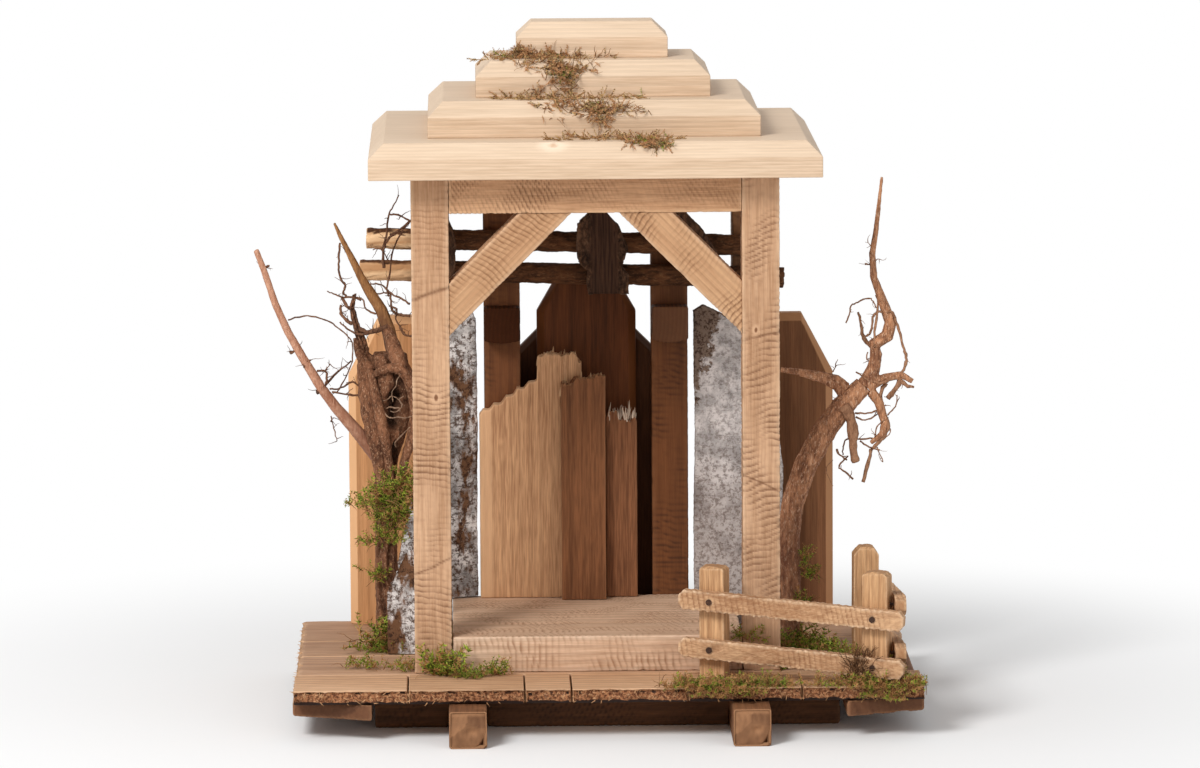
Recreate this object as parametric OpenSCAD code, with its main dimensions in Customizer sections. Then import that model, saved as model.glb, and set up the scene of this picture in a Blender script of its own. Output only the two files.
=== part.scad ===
// A small wooden stable for a holiday display: a plank base on skids, a timber frame with braces,
// a stepped roof of four slabs, a rear wall of boards and bark, a corner fence, a root and a tree.
// Millimetres. The origin is on the ground, under the middle of the whole.
// Inside the modules, x = 0 is the middle of the frame, y = 0 is the front of the front posts
// and z = 0 is the top of the deck.

/* [Timber] */
// Side of the squared timber
stock = 20; // [18:0.5:22]
// Eased edge on the squared timber
edge_ease = 0.8; // [0.3:0.1:1.5]
// Thickness of the wall boards
board_t = 11; // [9:0.5:13]
// Bevel round the front of the wall boards
board_bevel = 4; // [2:0.5:5]
// Gap where one wooden piece slips in beside another
fit_gap = 0.2; // [0.1:0.05:0.3]

/* [Frame] */
// Width over the front posts
frame_w = 195; // [188:1:206]
// Depth from the front of the front posts to the back of the rear posts
frame_d = 155; // [148:1:166]
// Height of the posts above the deck
frame_h = 266; // [262:1:290]
// Length of a brace along the post and along the header
brace_leg = 65; // [50:1:75]
// Distance that a brace is set back from the face of the frame
brace_inset = 1; // [0.5:0.5:3]
// Middle of the left inner post, left of the middle of the frame
inner_left = 49; // [46:1:50]
// Middle of the right inner post, right of the middle of the frame
inner_right = 43; // [40:1:44]

/* [Roof] */
// Thickness of each roof slab
roof_t = 19; // [15:0.5:22]
// Bevel round the top of each roof slab
roof_bevel = 8; // [5:0.5:9]
// Width of the lowest roof slab
roof_w = 239; // [228:1:260]
// Depth of the lowest roof slab
roof_d = 194; // [184:1:210]
// Width of the ledge round the second roof slab
first_ledge = 31.3; // [26:0.1:34]
// Width of the ledge round the third roof slab
second_ledge = 25.7; // [20:0.1:28]
// Width of the ledge round the top roof slab
third_ledge = 22; // [18:0.1:24]

/* [Base] */
// Thickness of the deck planks
deck_t = 8; // [6:0.5:10]
// Width of the deck
deck_w = 334; // [328:1:350]
// Depth of the deck
deck_d = 221; // [219:1:240]
// Distance from the front edge of the deck back to the frame
deck_front = 52; // [50:1:56]
// Distance that the base sits to the right of the frame
deck_shift = 5; // [2:1:6]
// Gap between neighbouring deck planks
plank_gap = 0.6; // [0.3:0.1:1]
// Depth of the ragged bark edge of the planks
rag = 1.2; // [0.5:0.1:2]
// Distance between the middles of the skids
skid_span = 149; // [120:1:170]
// Distance that the skids reach in front of the deck
skid_reach = 17; // [10:1:22]
// Distance of the front cross beam ahead of the frame
beam_ahead = 8; // [2:1:14]
// Width of the bearer board under each end of the deck
bearer_w = 42; // [30:1:46]
// Thickness of the bearer boards
bearer_t = 8.5; // [6:0.5:12]
// Distance that the outer front corner of a bearer is cut back
bearer_cut = 17; // [8:1:25]

/* [Floor] */
// Thickness of the raised floor
floor_t = 19; // [14:0.5:20]
// Distance that the raised floor is set back from the front of the posts
floor_inset = 2; // [0:0.5:5]

/* [Rear wall] */
// Height of the outer wall boards
wall_h = 172; // [160:1:180]
// Width of the wing boards
wing_w = 48; // [44:1:54]
// Outer edge of the wing boards from the middle of the frame
wing_reach = 134; // [128:1:138]
// Width of each of the two boards behind the middle one
rear_board_w = 47; // [44:1:50]
// Width of the tall middle board
middle_board_w = 54.6; // [48:0.2:60]
// Height of the tall middle board
middle_board_h = 197; // [190:1:200]
// Distance that the rear wall is shifted left of the middle of the frame
wall_shift = 2.5; // [1.5:0.5:4]

/* [Broken boards] */
// Thickness of the broken boards
broken_t = 9; // [7:0.5:10]
// Width of the wide broken board
wide_broken_w = 56.6; // [50:0.2:57]
// Height of the wide broken board above the raised floor
wide_broken_h = 139; // [120:1:140]
// Width of the narrow broken board
narrow_broken_w = 24.7; // [20:0.1:28]
// Height of the narrow broken board above the raised floor
narrow_broken_h = 128; // [110:1:136]
// Width of the low broken board
low_broken_w = 17.4; // [14:0.1:22]
// Height of the low broken board above the raised floor
low_broken_h = 108; // [90:1:116]

/* [Bark slabs] */
// Thickness of the pale bark slabs at their middle
slab_t = 11; // [8:0.5:12]
// Radius of their rounded bark face
slab_round = 62; // [50:1:80]
// Width of a pale bark slab
slab_w = 50.5; // [44:0.5:51]
// Height of the left pale bark slab above the deck
left_slab_h = 188; // [170:1:189]
// Height of the right pale bark slab above the deck
right_slab_h = 181; // [165:1:189]
// Thickness of the dark bark pieces under the roof
bark_t = 11.5; // [9:0.5:12]
// Width of the dark bark piece in the middle
king_w = 29; // [22:1:31]
// Width of the dark bark cleat in the left rear corner
cleat_w = 24; // [20:1:26]
// Height of the dark bark pieces, up to the underside of the roof
king_h = 78; // [74:1:80]

/* [Log rails] */
// Diameter of the log rails
log_d = 12; // [10:0.5:13]
// Depth of the flat along the front and along the back of a log rail
log_flat = 0.5; // [0.3:0.1:1]
// Length of the lower log rail
low_log_len = 233; // [222:1:238]
// Length of the upper log rail
high_log_len = 220; // [214:1:228]
// Left end of the lower log rail from the middle of the frame
low_log_left = 127; // [118:1:130]
// Left end of the upper log rail from the middle of the frame
high_log_left = 123; // [118:1:128]
// Height of the middle of the lower log above the taller pale bark slab
log_clear = 10; // [9.5:0.5:11]
// Height of the upper log above the lower log
log_step = 17.5; // [16:0.5:22]
// Fall of a log rail towards the right, in degrees
log_fall = 1.5; // [0:0.1:2]
// Depth of the block on the front of each inner post
block_d = 13; // [8:0.5:14]
// Gap between the wide broken board and the underside of those blocks
block_clear = 2.5; // [1.5:0.5:6]
// Radius of the rounded underside of those blocks
block_round = 26; // [20:1:40]

/* [Fence] */
// Side of the fence posts
fence_post = 14; // [11:0.5:15]
// Height of the fence posts
fence_h = 60; // [54:1:70]
// Distance between the posts of the front run
fence_run = 88; // [80:1:90]
// Turn of the front run, in degrees
fence_turn = 15; // [12:0.5:16]
// Distance between the posts of the side run
fence_side = 85; // [70:1:90]
// Height of a fence rail
rail_h = 11; // [8:0.5:12]
// Thickness of a fence rail
rail_t = 6; // [4:0.5:6.5]
// Length that a rail runs past its posts
rail_over = 10; // [8:0.5:12]
// Height of the middle of the lower rails
low_rail_z = 12.8; // [12:0.1:15]
// Height of the middle of the upper rails
high_rail_z = 38.5; // [35:0.5:44]
// Fall of the rails, in degrees
rail_fall = 4; // [0:0.5:4.5]
// Diameter of the fence nails
nail_d = 1.6; // [1.2:0.1:2]
// Length of the fence nails
nail_len = 14; // [11:0.5:16]

/* [Root and tree] */
// Height of the root on the left
root_h = 233; // [218:1:240]
// Half the thickness of the root at its knot
root_r = 14.5; // [12:0.5:15]
// Height of the tree on the right
tree_h = 259; // [245:1:262]
// Half the thickness of the tree at its foot
tree_r = 8; // [6:0.5:9]

/* [Moss] */
// Half the width of a large tuft of moss
moss_r = 14; // [11:0.5:15]
// Height of a large tuft of moss
moss_h = 9; // [6:0.5:10]

/* [Hidden] */
$fn = 48;
// Length that a cut runs past the piece it cuts
overrun = 1;

// Places that several pieces share
half_w = frame_w / 2;
inner_half_w = half_w - stock;
rear_y = frame_d - stock;
base_h = stock + deck_t;
deck_left = deck_shift - deck_w / 2;
deck_right = deck_shift + deck_w / 2;
deck_back = deck_d - deck_front;
lap = stock / 2;
header_z = frame_h - stock;
log_t = log_d - 2 * log_flat;
low_log_z = max(left_slab_h, right_slab_h) + log_clear;
high_log_z = low_log_z + log_step;
log_y = rear_y - log_t;
block_z = floor_t + wide_broken_h + block_clear;
beam_gap = 1;
beam_len = deck_w - 2 * bearer_w - 2 * beam_gap;
front_beam_y = -beam_ahead;
rear_beam_y = frame_d - stock - beam_ahead;

// The wide broken board reaches past the inner left post, and the narrow one stands on its front
broken_reach = 3;
narrow_place_share = 0.79;

// Gap between the inner right post and the right pale bark slab
slab_clear = 2.3;

// Where the middle piece of dark bark begins, left of the middle of the frame
king_place_share = 0.29;

// Foot of the left fence post, turn of the side run in degrees, and height of a nail's head
fence_x = 61.6;
fence_y = -14.2;
side_turn = 2;
nail_head = 0.6;

// Heads of the fence posts: place across the post and distance below its top, as shares of its side
left_head_shares = [[0.5, 0.18], [0.4, 0.06], [-0.1, 0], [-0.42, 0.05], [-0.5, 0.16]];
corner_head_shares = [[0.5, 0.24], [0.38, 0.07], [-0.05, 0], [-0.42, 0.08], [-0.5, 0.18]];
back_head_shares = [[0.5, 0.36], [0.24, 0.03], [-0.1, 0], [-0.3, 0.06], [-0.5, 0.34]];
side_head_shares = [[0.5, 0.2], [0.32, 0.02], [-0.36, 0], [-0.5, 0.12]];
rail_clip_share = 0.25;

// Clipped top corners of the wall boards
wing_clip_shares = [0.36, 0.19];
rear_clip_share = 0.6;
middle_clip_shares = [0.23, 0.11];

// Ledges of the roof, and how far each slab steps in from the lowest one
roof_ledges = [first_ledge, second_ledge, third_ledge];
roof_steps = [0, first_ledge, first_ledge + second_ledge, first_ledge + second_ledge + third_ledge];

// Edges of the deck planks: across the front row, and from row to row
front_edge_shares = [0, 0.183, 0.367, 0.441, 0.624, 0.804, 1];
row_shares = [0, 0.222, 0.49, 0.7, 1];
row_trim_shares = [0, 0.016, 0.009, 0.004];

// Torn and natural outlines, as shares of the width and height of their piece
wide_broken_shares = [
    [0, 0], [0, 0.735], [0.04, 0.755], [0.1, 0.752], [0.14, 0.777], [0.21, 0.775], [0.26, 0.806],
    [0.33, 0.81], [0.37, 0.84], [0.43, 0.835], [0.48, 0.862], [0.56, 0.866], [0.565, 0.985],
    [0.66, 1], [0.8, 0.99], [0.93, 1], [0.97, 0.97], [1, 0.96], [1, 0]
];
narrow_broken_shares = [
    [0, 0], [0, 0.95], [0.1, 0.97], [0.18, 0.945], [0.3, 0.98], [0.62, 0.985], [0.8, 1], [1, 0.99],
    [1, 0]
];
low_broken_shares = [
    [0, 0], [0, 0.97], [0.12, 1], [0.22, 0.965], [0.34, 0.99], [0.48, 0.95], [0.6, 0.975],
    [0.74, 0.94], [0.86, 0.96], [1, 0.93], [1, 0]
];
left_slab_shares = [
    [0, 0], [0.02, 0.12], [0.12, 0.24], [0.2, 0.34], [0.28, 0.43], [0.3, 0.6], [0.36, 0.75],
    [0.44, 0.88], [0.56, 0.97], [0.72, 1], [0.9, 0.98], [0.99, 0.92], [1, 0.6], [0.985, 0.3], [1, 0]
];
right_slab_shares = [
    [0, 0], [0, 0.3], [0.015, 0.6], [0, 0.98], [0.12, 1], [0.24, 0.985], [0.42, 0.955], [0.6, 0.9],
    [0.78, 0.8], [0.92, 0.66], [1, 0.5], [0.98, 0.25], [1, 0]
];
king_shares = [
    [0.22, 0], [0.19, 0.1], [0.22, 0.17], [0.03, 0.23], [0, 0.36], [0.03, 0.5], [0.24, 0.58],
    [0.24, 1], [0.64, 1], [0.62, 0.58], [0.79, 0.51], [0.86, 0.44], [1, 0.33], [0.93, 0.26],
    [0.88, 0.19], [1, 0.14], [1, 0]
];
bark_brace_shares = [
    [0.88, 0], [1, 0.1], [0.9, 0.27], [0.85, 0.36], [0.79, 0.45], [0.68, 0.565], [0.36, 1],
    [0.2, 1], [0.49, 0.49], [0.77, 0.08]
];
cleat_shares = [
    [0, 0], [0.83, 0.02], [0.96, 0.18], [1, 0.36], [0.92, 0.48], [0.8, 0.56], [0.82, 0.8],
    [0.78, 1], [0, 1]
];

// Stems of the root and the tree: x, y and z as shares of the height, and the radius as a share
// of the radius at the knot or the foot
root_x = -107;
root_y = 85;
root_trunk_shares = [
    [-0.02, 0, 0, 0.6], [-0.022, 0, 0.09, 0.53], [-0.026, 0, 0.2, 0.46], [-0.026, 0, 0.34, 0.42],
    [-0.027, 0, 0.4, 0.44], [-0.028, 0, 0.445, 0.55], [-0.025, 0, 0.49, 0.74], [-0.02, 0, 0.545, 0.92],
    [-0.018, 0, 0.6, 1], [-0.018, 0, 0.655, 0.94], [-0.018, 0, 0.695, 0.72]
];
root_stub_shares = [
    [-0.058, 0, 0.64, 0.34], [-0.071, 0, 0.69, 0.25], [-0.08, 0, 0.725, 0.21],
    [-0.093, 0, 0.765, 0.17], [-0.1, 0, 0.8, 0.13], [-0.092, 0, 0.836, 0.09]
];
root_low_shares = [
    [-0.03, 0, 0.435, 0.36], [-0.084, -0.023, 0.503, 0.26], [-0.138, -0.058, 0.572, 0.22],
    [-0.172, -0.08, 0.622, 0.2], [-0.213, -0.1, 0.695, 0.18], [-0.246, -0.118, 0.758, 0.16],
    [-0.274, -0.136, 0.825, 0.15], [-0.3, -0.156, 0.91, 0.13], [-0.316, -0.17, 0.955, 0.12]
];
root_upright_shares = [
    [0.004, 0, 0.63, 0.34], [-0.006, -0.014, 0.7, 0.29], [-0.015, -0.015, 0.745, 0.27],
    [-0.032, -0.016, 0.795, 0.24], [-0.057, -0.017, 0.835, 0.21], [-0.078, -0.018, 0.872, 0.17],
    [-0.1, -0.019, 0.918, 0.14], [-0.125, -0.02, 0.968, 0.1], [-0.139, -0.021, 1, 0.06]
];
tree_x = 105;
tree_y = 60;
tree_trunk_shares = [
    [0, 0, 0, 1], [0, 0, 0.06, 0.9], [0, 0, 0.14, 0.84], [-0.001, 0, 0.235, 0.8],
    [0.007, 0, 0.31, 0.82], [0.034, 0, 0.39, 0.84], [0.07, 0, 0.46, 0.82], [0.115, 0, 0.518, 0.82],
    [0.156, 0, 0.56, 0.7]
];
tree_side_shares = [
    [0.13, 0, 0.545, 0.42], [0.1, 0, 0.572, 0.34], [0.07, 0, 0.58, 0.3], [0.02, 0, 0.588, 0.27],
    [-0.018, 0, 0.593, 0.2]
];
tree_upright_shares = [
    [0.16, 0, 0.555, 0.5], [0.177, 0, 0.59, 0.44], [0.182, 0, 0.625, 0.44], [0.178, 0, 0.645, 0.48],
    [0.205, 0, 0.662, 0.48], [0.212, 0, 0.69, 0.44], [0.203, 0, 0.715, 0.38], [0.188, 0, 0.755, 0.3],
    [0.177, 0, 0.785, 0.27], [0.174, 0, 0.835, 0.24], [0.182, 0, 0.885, 0.2], [0.194, 0, 0.995, 0.12]
];
tree_twig_shares = [
    [0.165, 0, 0.555, 0.4], [0.2, 0, 0.574, 0.32], [0.235, 0, 0.58, 0.28], [0.258, 0, 0.566, 0.2]
];
tree_hanging_shares = [
    [0.165, 0, 0.552, 0.4], [0.187, 0, 0.525, 0.36], [0.2, 0, 0.48, 0.3], [0.194, 0, 0.455, 0.26],
    [0.17, 0, 0.437, 0.18]
];
stem_sides = 8;

// Tufts of moss: place on the piece that carries them, and size as a share of the large tuft
roof_moss_shares = [
    [3, -0.23, 0.4], [3, -0.185, 0.45], [3, -0.14, 0.5], [3, -0.09, 0.42], [3, -0.03, 0.36],
    [2, -0.19, 0.4], [2, -0.125, 0.5], [2, -0.06, 0.52], [2, 0.02, 0.45], [2, 0.09, 0.36],
    [1, -0.07, 0.42], [1, 0.01, 0.5], [1, 0.085, 0.6], [1, 0.155, 0.45]
];
deck_moss_shares = [
    [-0.3, 0.64, 0.9], [-0.34, 0.55, 0.7], [-0.22, 0.19, 0.5], [0.31, 0.28, 0.6], [0.34, 0.37, 0.9],
    [0.27, 0.5, 0.8], [0.39, 0.3, 0.6], [0.13, 0.04, 0.45], [0.19, 0.04, 0.5], [0.25, 0.04, 0.5]
];

// The frame's own corner, seen from the middle of the whole
root_tip_shares = root_low_shares[len(root_low_shares) - 1];
root_reach = -(root_x + root_tip_shares[0] * root_h) + root_tip_shares[3] * root_r;
frame_x = (root_reach - deck_right) / 2;
frame_y = -((frame_d + roof_d) / 2 - deck_front - skid_reach) / 2;

module place() {
    translate([frame_x, frame_y, base_h]) children();
}

// Turns a piece drawn for the right into its fellow on the left
module handed(side) {
    mirror([side < 0 ? 1 : 0, 0, 0]) children();
}

// Outline of squared timber with eased edges
module timber_section() {
    e = edge_ease;
    s = stock;
    polygon([[e, 0], [s - e, 0], [s, e], [s, s - e], [s - e, s], [e, s], [0, s - e], [0, e]]);
}

module timber_up(length) {
    linear_extrude(length) timber_section();
}

module timber_across(length) {
    rotate([90, 0, 90]) linear_extrude(length) timber_section();
}

module timber_back(length) {
    translate([0, length, 0]) rotate([90, 0, 0]) linear_extrude(length) timber_section();
}

// A flat shape drawn in x and z, given a thickness towards the back
module upright(thickness) {
    translate([0, thickness, 0]) rotate([90, 0, 0]) linear_extrude(thickness) children();
}

// A natural outline stretched to the size of its piece
module outline(shares, width, height) {
    polygon([for (s = shares) [s[0] * width, s[1] * height]]);
}

// Skids and cross beams are halved where they cross
module skid_at(side) {
    color([0.66, 0.5, 0.36]) place()
        translate([deck_shift + side * skid_span / 2 - stock / 2, -deck_front - skid_reach, -base_h])
            difference() {
                timber_back(deck_d + skid_reach - stock / 2);
                for (y = [front_beam_y, rear_beam_y])
                    translate([-overrun, y + deck_front + skid_reach, lap])
                        cube([stock + 2 * overrun, stock, lap + overrun]);
            }
}

module cross_beam_at(y) {
    color([0.36, 0.26, 0.18]) place()
        translate([deck_shift - beam_len / 2, y, -base_h])
            difference() {
                timber_across(beam_len);
                for (side = [-1, 1])
                    translate([beam_len / 2 + side * skid_span / 2 - stock / 2, -overrun, -overrun])
                        cube([stock, stock + 2 * overrun, lap + overrun]);
            }
}

module left_skid() skid_at(-1);
module right_skid() skid_at(1);
module front_cross_beam() cross_beam_at(front_beam_y);
module rear_cross_beam() cross_beam_at(rear_beam_y);

module bearer_at(side) {
    color([0.55, 0.4, 0.3]) place()
        translate([deck_shift, -deck_front, -deck_t - bearer_t]) handed(side)
            linear_extrude(bearer_t)
                polygon([
                    [deck_w / 2 - bearer_w, 2 * rag], [deck_w / 2, bearer_cut + 2 * rag],
                    [deck_w / 2, deck_d - deck_t], [deck_w / 2 - bearer_w, deck_d - deck_t]
                ]);
}

module left_bearer() bearer_at(-1);
module right_bearer() bearer_at(1);

// A bark edge wanders in and out by up to rag
function wander(t, seed) = rag * (0.6 * sin(t * 900 + seed * 77) + 0.4 * sin(t * 2300 + seed * 131));

steps_per_edge = 12;

module front_plank_at(i) {
    x0 = deck_left + front_edge_shares[i] * deck_w + plank_gap / 2;
    x1 = deck_left + front_edge_shares[i + 1] * deck_w - plank_gap / 2;
    back = row_shares[1] * deck_d - plank_gap / 2;
    color([0.68, 0.52, 0.4]) place()
        translate([0, -deck_front, -deck_t]) linear_extrude(deck_t)
            polygon(concat(
                [[x1, back], [x0, back]],
                [for (k = [0:steps_per_edge])
                    [x0 + (x1 - x0) * k / steps_per_edge, rag + wander(k / steps_per_edge, i)]]
            ));
}

module front_plank_1() front_plank_at(0);
module front_plank_2() front_plank_at(1);
module front_plank_3() front_plank_at(2);
module front_plank_4() front_plank_at(3);
module front_plank_5() front_plank_at(4);
module front_plank_6() front_plank_at(5);

module long_plank_at(row) {
    y0 = row_shares[row] * deck_d + plank_gap / 2;
    y1 = row_shares[row + 1] * deck_d - plank_gap / 2;
    right = deck_right - row_trim_shares[row] * deck_w;
    color([0.66, 0.5, 0.38]) place()
        translate([0, -deck_front, -deck_t]) linear_extrude(deck_t)
            polygon(concat(
                [for (k = [0:steps_per_edge])
                    [deck_left + rag + wander(k / steps_per_edge, row),
                        y1 + (y0 - y1) * k / steps_per_edge]],
                [for (k = [0:steps_per_edge])
                    [right - rag + wander(k / steps_per_edge, row + 5),
                        y0 + (y1 - y0) * k / steps_per_edge]]
            ));
}

module second_plank() long_plank_at(1);
module third_plank() long_plank_at(2);
module rear_plank() long_plank_at(3);

module floor_board() {
    color([0.78, 0.64, 0.47]) place()
        translate([-inner_half_w + fit_gap, floor_inset, 0])
            cube([2 * inner_half_w - 2 * fit_gap, rear_y - floor_inset - fit_gap, floor_t]);
}

// Frame
module front_left_post() color([0.75, 0.6, 0.42]) place()
    translate([-half_w, 0, 0]) timber_up(frame_h);
module front_right_post() color([0.75, 0.6, 0.42]) place()
    translate([inner_half_w, 0, 0]) timber_up(frame_h);
module rear_left_post() color([0.6, 0.45, 0.3]) place()
    translate([-half_w, rear_y, 0]) timber_up(frame_h);
module rear_right_post() color([0.6, 0.45, 0.3]) place()
    translate([inner_half_w, rear_y, 0]) timber_up(frame_h);
module inner_left_post() color([0.55, 0.38, 0.25]) place()
    translate([-inner_left - stock / 2, rear_y, 0]) timber_up(header_z);
module inner_right_post() color([0.55, 0.38, 0.25]) place()
    translate([inner_right - stock / 2, rear_y, 0]) timber_up(header_z);

// Each inner post carries a short block whose underside is rounded
module post_block_at(x) {
    color([0.5, 0.33, 0.2]) place()
        translate([x, rear_y - block_d, block_z])
            intersection() {
                translate([-stock / 2, 0, 0]) timber_back(block_d);
                translate([0, -overrun, block_round]) rotate([-90, 0, 0])
                    cylinder(r = block_round, h = block_d + 2 * overrun);
            }
}

module left_post_block() post_block_at(-inner_left);
module right_post_block() post_block_at(inner_right);

module front_header() color([0.78, 0.62, 0.45]) place()
    translate([-inner_half_w, 0, header_z]) timber_across(2 * inner_half_w);
module rear_header() color([0.6, 0.45, 0.3]) place()
    translate([-inner_half_w, rear_y, header_z]) timber_across(2 * inner_half_w);

// A brace fills the corner between a post and the header at 45 degrees
module brace_at(side) {
    cut = stock * sqrt(2);
    color([0.77, 0.6, 0.43]) place()
        translate([side * inner_half_w, brace_inset, header_z]) handed(-side)
            upright(stock - brace_inset)
                polygon([[0, -brace_leg], [0, cut - brace_leg], [brace_leg - cut, 0], [brace_leg, 0]]);
}

module left_brace() brace_at(-1);
module right_brace() brace_at(1);

// Roof: four slabs, each bevelled all round its top
module roof_section(width) {
    face = roof_t - roof_bevel;
    polygon([
        [-width / 2, 0], [width / 2, 0], [width / 2, face], [width / 2 - roof_bevel, roof_t],
        [roof_bevel - width / 2, roof_t], [-width / 2, face]
    ]);
}

module roof_slab_at(i) {
    w = roof_w - 2 * roof_steps[i];
    d = roof_d - 2 * roof_steps[i];
    color([0.93, 0.83, 0.68]) place()
        translate([0, frame_d / 2, frame_h + i * roof_t])
            intersection() {
                rotate([90, 0, 0]) linear_extrude(d, center = true) roof_section(w);
                rotate([90, 0, 90]) linear_extrude(w, center = true) roof_section(d);
            }
}

module roof_slab_1() roof_slab_at(0);
module roof_slab_2() roof_slab_at(1);
module roof_slab_3() roof_slab_at(2);
module roof_slab_4() roof_slab_at(3);

// Wall boards: bevelled round the front, with clipped top corners
module wall_board(width, height, left_clip, right_clip) {
    shape = [
        [0, 0], [0, height - left_clip[1]], [left_clip[0], height], [width - right_clip[0], height],
        [width, height - right_clip[1]], [width, 0]
    ];
    translate([0, board_t, 0]) rotate([90, 0, 0]) hull() {
        linear_extrude(board_t - board_bevel) polygon(shape);
        linear_extrude(board_t)
            polygon([for (p = shape) [
                min(max(p[0], board_bevel), width - board_bevel), min(p[1], height - board_bevel)
            ]]);
    }
}

wing_clip = [wing_w * wing_clip_shares[0], wall_h * wing_clip_shares[1]];
rear_clip = [rear_board_w * rear_clip_share, rear_board_w * rear_clip_share];
middle_clip = [middle_board_w * middle_clip_shares[0], middle_board_h * middle_clip_shares[1]];

module left_wing_board() color([0.6, 0.44, 0.28]) place()
    translate([-wing_reach, frame_d, 0]) wall_board(wing_w, wall_h, wing_clip, [0, 0]);
module right_wing_board() color([0.5, 0.35, 0.22]) place()
    translate([wing_reach - wing_w, frame_d, 0]) wall_board(wing_w, wall_h, [0, 0], wing_clip);
module rear_left_board() color([0.3, 0.2, 0.13]) place()
    translate([-wall_shift - rear_board_w, frame_d, 0])
        wall_board(rear_board_w, wall_h, rear_clip, [0, 0]);
module rear_right_board() color([0.3, 0.2, 0.13]) place()
    translate([-wall_shift, frame_d, 0]) wall_board(rear_board_w, wall_h, [0, 0], rear_clip);
module middle_board() color([0.38, 0.26, 0.16]) place()
    translate([-wall_shift - middle_board_w / 2, frame_d - board_t, 0])
        wall_board(middle_board_w, middle_board_h, middle_clip, middle_clip);

// Broken boards stand on the raised floor
wide_left = -inner_left - stock / 2 - broken_reach;
narrow_left = wide_left + wide_broken_w * narrow_place_share;
low_broken_left = narrow_left + narrow_broken_w;

module broken_board(shares, width, height, left, back) {
    translate([left, back - broken_t, floor_t])
        upright(broken_t) outline(shares, width, height);
}

module wide_broken_board() color([0.75, 0.57, 0.38]) place()
    broken_board(wide_broken_shares, wide_broken_w, wide_broken_h, wide_left, rear_y - fit_gap);
module narrow_broken_board() color([0.7, 0.52, 0.34]) place()
    broken_board(narrow_broken_shares, narrow_broken_w, narrow_broken_h, narrow_left,
        rear_y - fit_gap - broken_t);
module low_broken_board() color([0.55, 0.35, 0.22]) place()
    broken_board(low_broken_shares, low_broken_w, low_broken_h, low_broken_left, rear_y - fit_gap);

// Pale bark slabs: rounded towards the front, flat against the rear posts,
// and notched at the foot to stand on the raised floor and on the deck
module bark_slab(shares, height, left, floor_from, floor_to) {
    translate([left, rear_y - fit_gap - slab_t, 0])
        intersection() {
            difference() {
                upright(slab_t) outline(shares, slab_w, height);
                translate([floor_from - left, -overrun, -overrun])
                    cube([floor_to - floor_from, slab_t + 2 * overrun, floor_t + overrun]);
            }
            translate([slab_w / 2, slab_round, -overrun])
                cylinder(r = slab_round, h = height + 2 * overrun);
        }
}

module left_birch_slab() color([0.7, 0.68, 0.66]) place()
    bark_slab(left_slab_shares, left_slab_h, wide_left - fit_gap - slab_w, -inner_half_w, 0);
module right_birch_slab() color([0.72, 0.71, 0.7]) place()
    bark_slab(right_slab_shares, right_slab_h, inner_right + stock / 2 + slab_clear, 0, inner_half_w);

// Dark bark pieces hang from the roof in front of the log rails
module hung_bark(shares, width, left) {
    translate([left, log_y - bark_t, frame_h - king_h])
        upright(bark_t) outline(shares, width, king_h);
}

module bark_king_piece() color([0.27, 0.17, 0.11]) place()
    hung_bark(king_shares, king_w, -king_w * king_place_share);
module bark_brace() color([0.3, 0.19, 0.12]) place()
    hung_bark(bark_brace_shares, inner_half_w, 0);
module bark_cleat() color([0.28, 0.18, 0.12]) place()
    hung_bark(cleat_shares, cleat_w, -half_w);

// Log rails: round, with a flat along the front and the back
module log_rail(length, left, z) {
    run = left * cos(log_fall);
    translate([0, rear_y - log_t / 2, z]) rotate([0, log_fall, 0])
        intersection() {
            translate([-run, 0, 0]) rotate([0, 90, 0]) cylinder(d = log_d, h = length);
            translate([-run, -log_t / 2, -log_d / 2]) cube([length, log_t, log_d]);
        }
}

module upper_log_rail() color([0.42, 0.29, 0.19]) place() log_rail(high_log_len, high_log_left, high_log_z);
module lower_log_rail() color([0.42, 0.29, 0.19]) place() log_rail(low_log_len, low_log_left, low_log_z);

// Fence: a front run turned outwards, a side run going back from its corner post
module front_run() {
    translate([fence_x, fence_y, 0]) rotate(-fence_turn) children();
}

corner_reach = fence_post / 2 * (cos(fence_turn) + sin(fence_turn));
side_x = fence_x + fence_run * cos(fence_turn) + corner_reach + fit_gap;
side_y = fence_y - fence_run * sin(fence_turn);

// The side rails stop short of the back of the front rails
side_near = tan(fence_turn) * (corner_reach + fence_post / 2 * sin(fence_turn))
    + fence_post / 2 * cos(fence_turn) - 2 * fit_gap;
front_over = fence_post / 2 + rail_over;

module side_run() {
    translate([side_x, side_y, 0]) rotate(side_turn) children();
}

// A fence post is split timber, so its head slopes in its own way to each side
module head_section(shares) {
    half = fence_post / 2;
    polygon(concat(
        [[-half, 0], [half, 0]],
        [for (s = shares) [s[0] * fence_post, fence_h - s[1] * fence_post]]
    ));
}

module fence_post_solid(across_shares, along_shares) {
    intersection() {
        rotate([90, 0, 0]) linear_extrude(fence_post, center = true) head_section(across_shares);
        rotate([90, 0, 90]) linear_extrude(fence_post, center = true) head_section(along_shares);
    }
}

// A rail lies on the front of its posts, with clipped ends
module rail_solid(span, fall, near, far) {
    clip = rail_h * rail_clip_share;
    length = span + near + far;
    translate([span / 2, -fence_post / 2, 0]) rotate([0, fall, 0])
        translate([-span / 2 - near, -rail_t, -rail_h / 2])
            upright(rail_t)
                polygon([
                    [clip, 0], [length - clip, 0], [length, clip], [length, rail_h - clip],
                    [length - clip, rail_h], [clip, rail_h], [0, rail_h - clip], [0, clip]
                ]);
}

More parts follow.
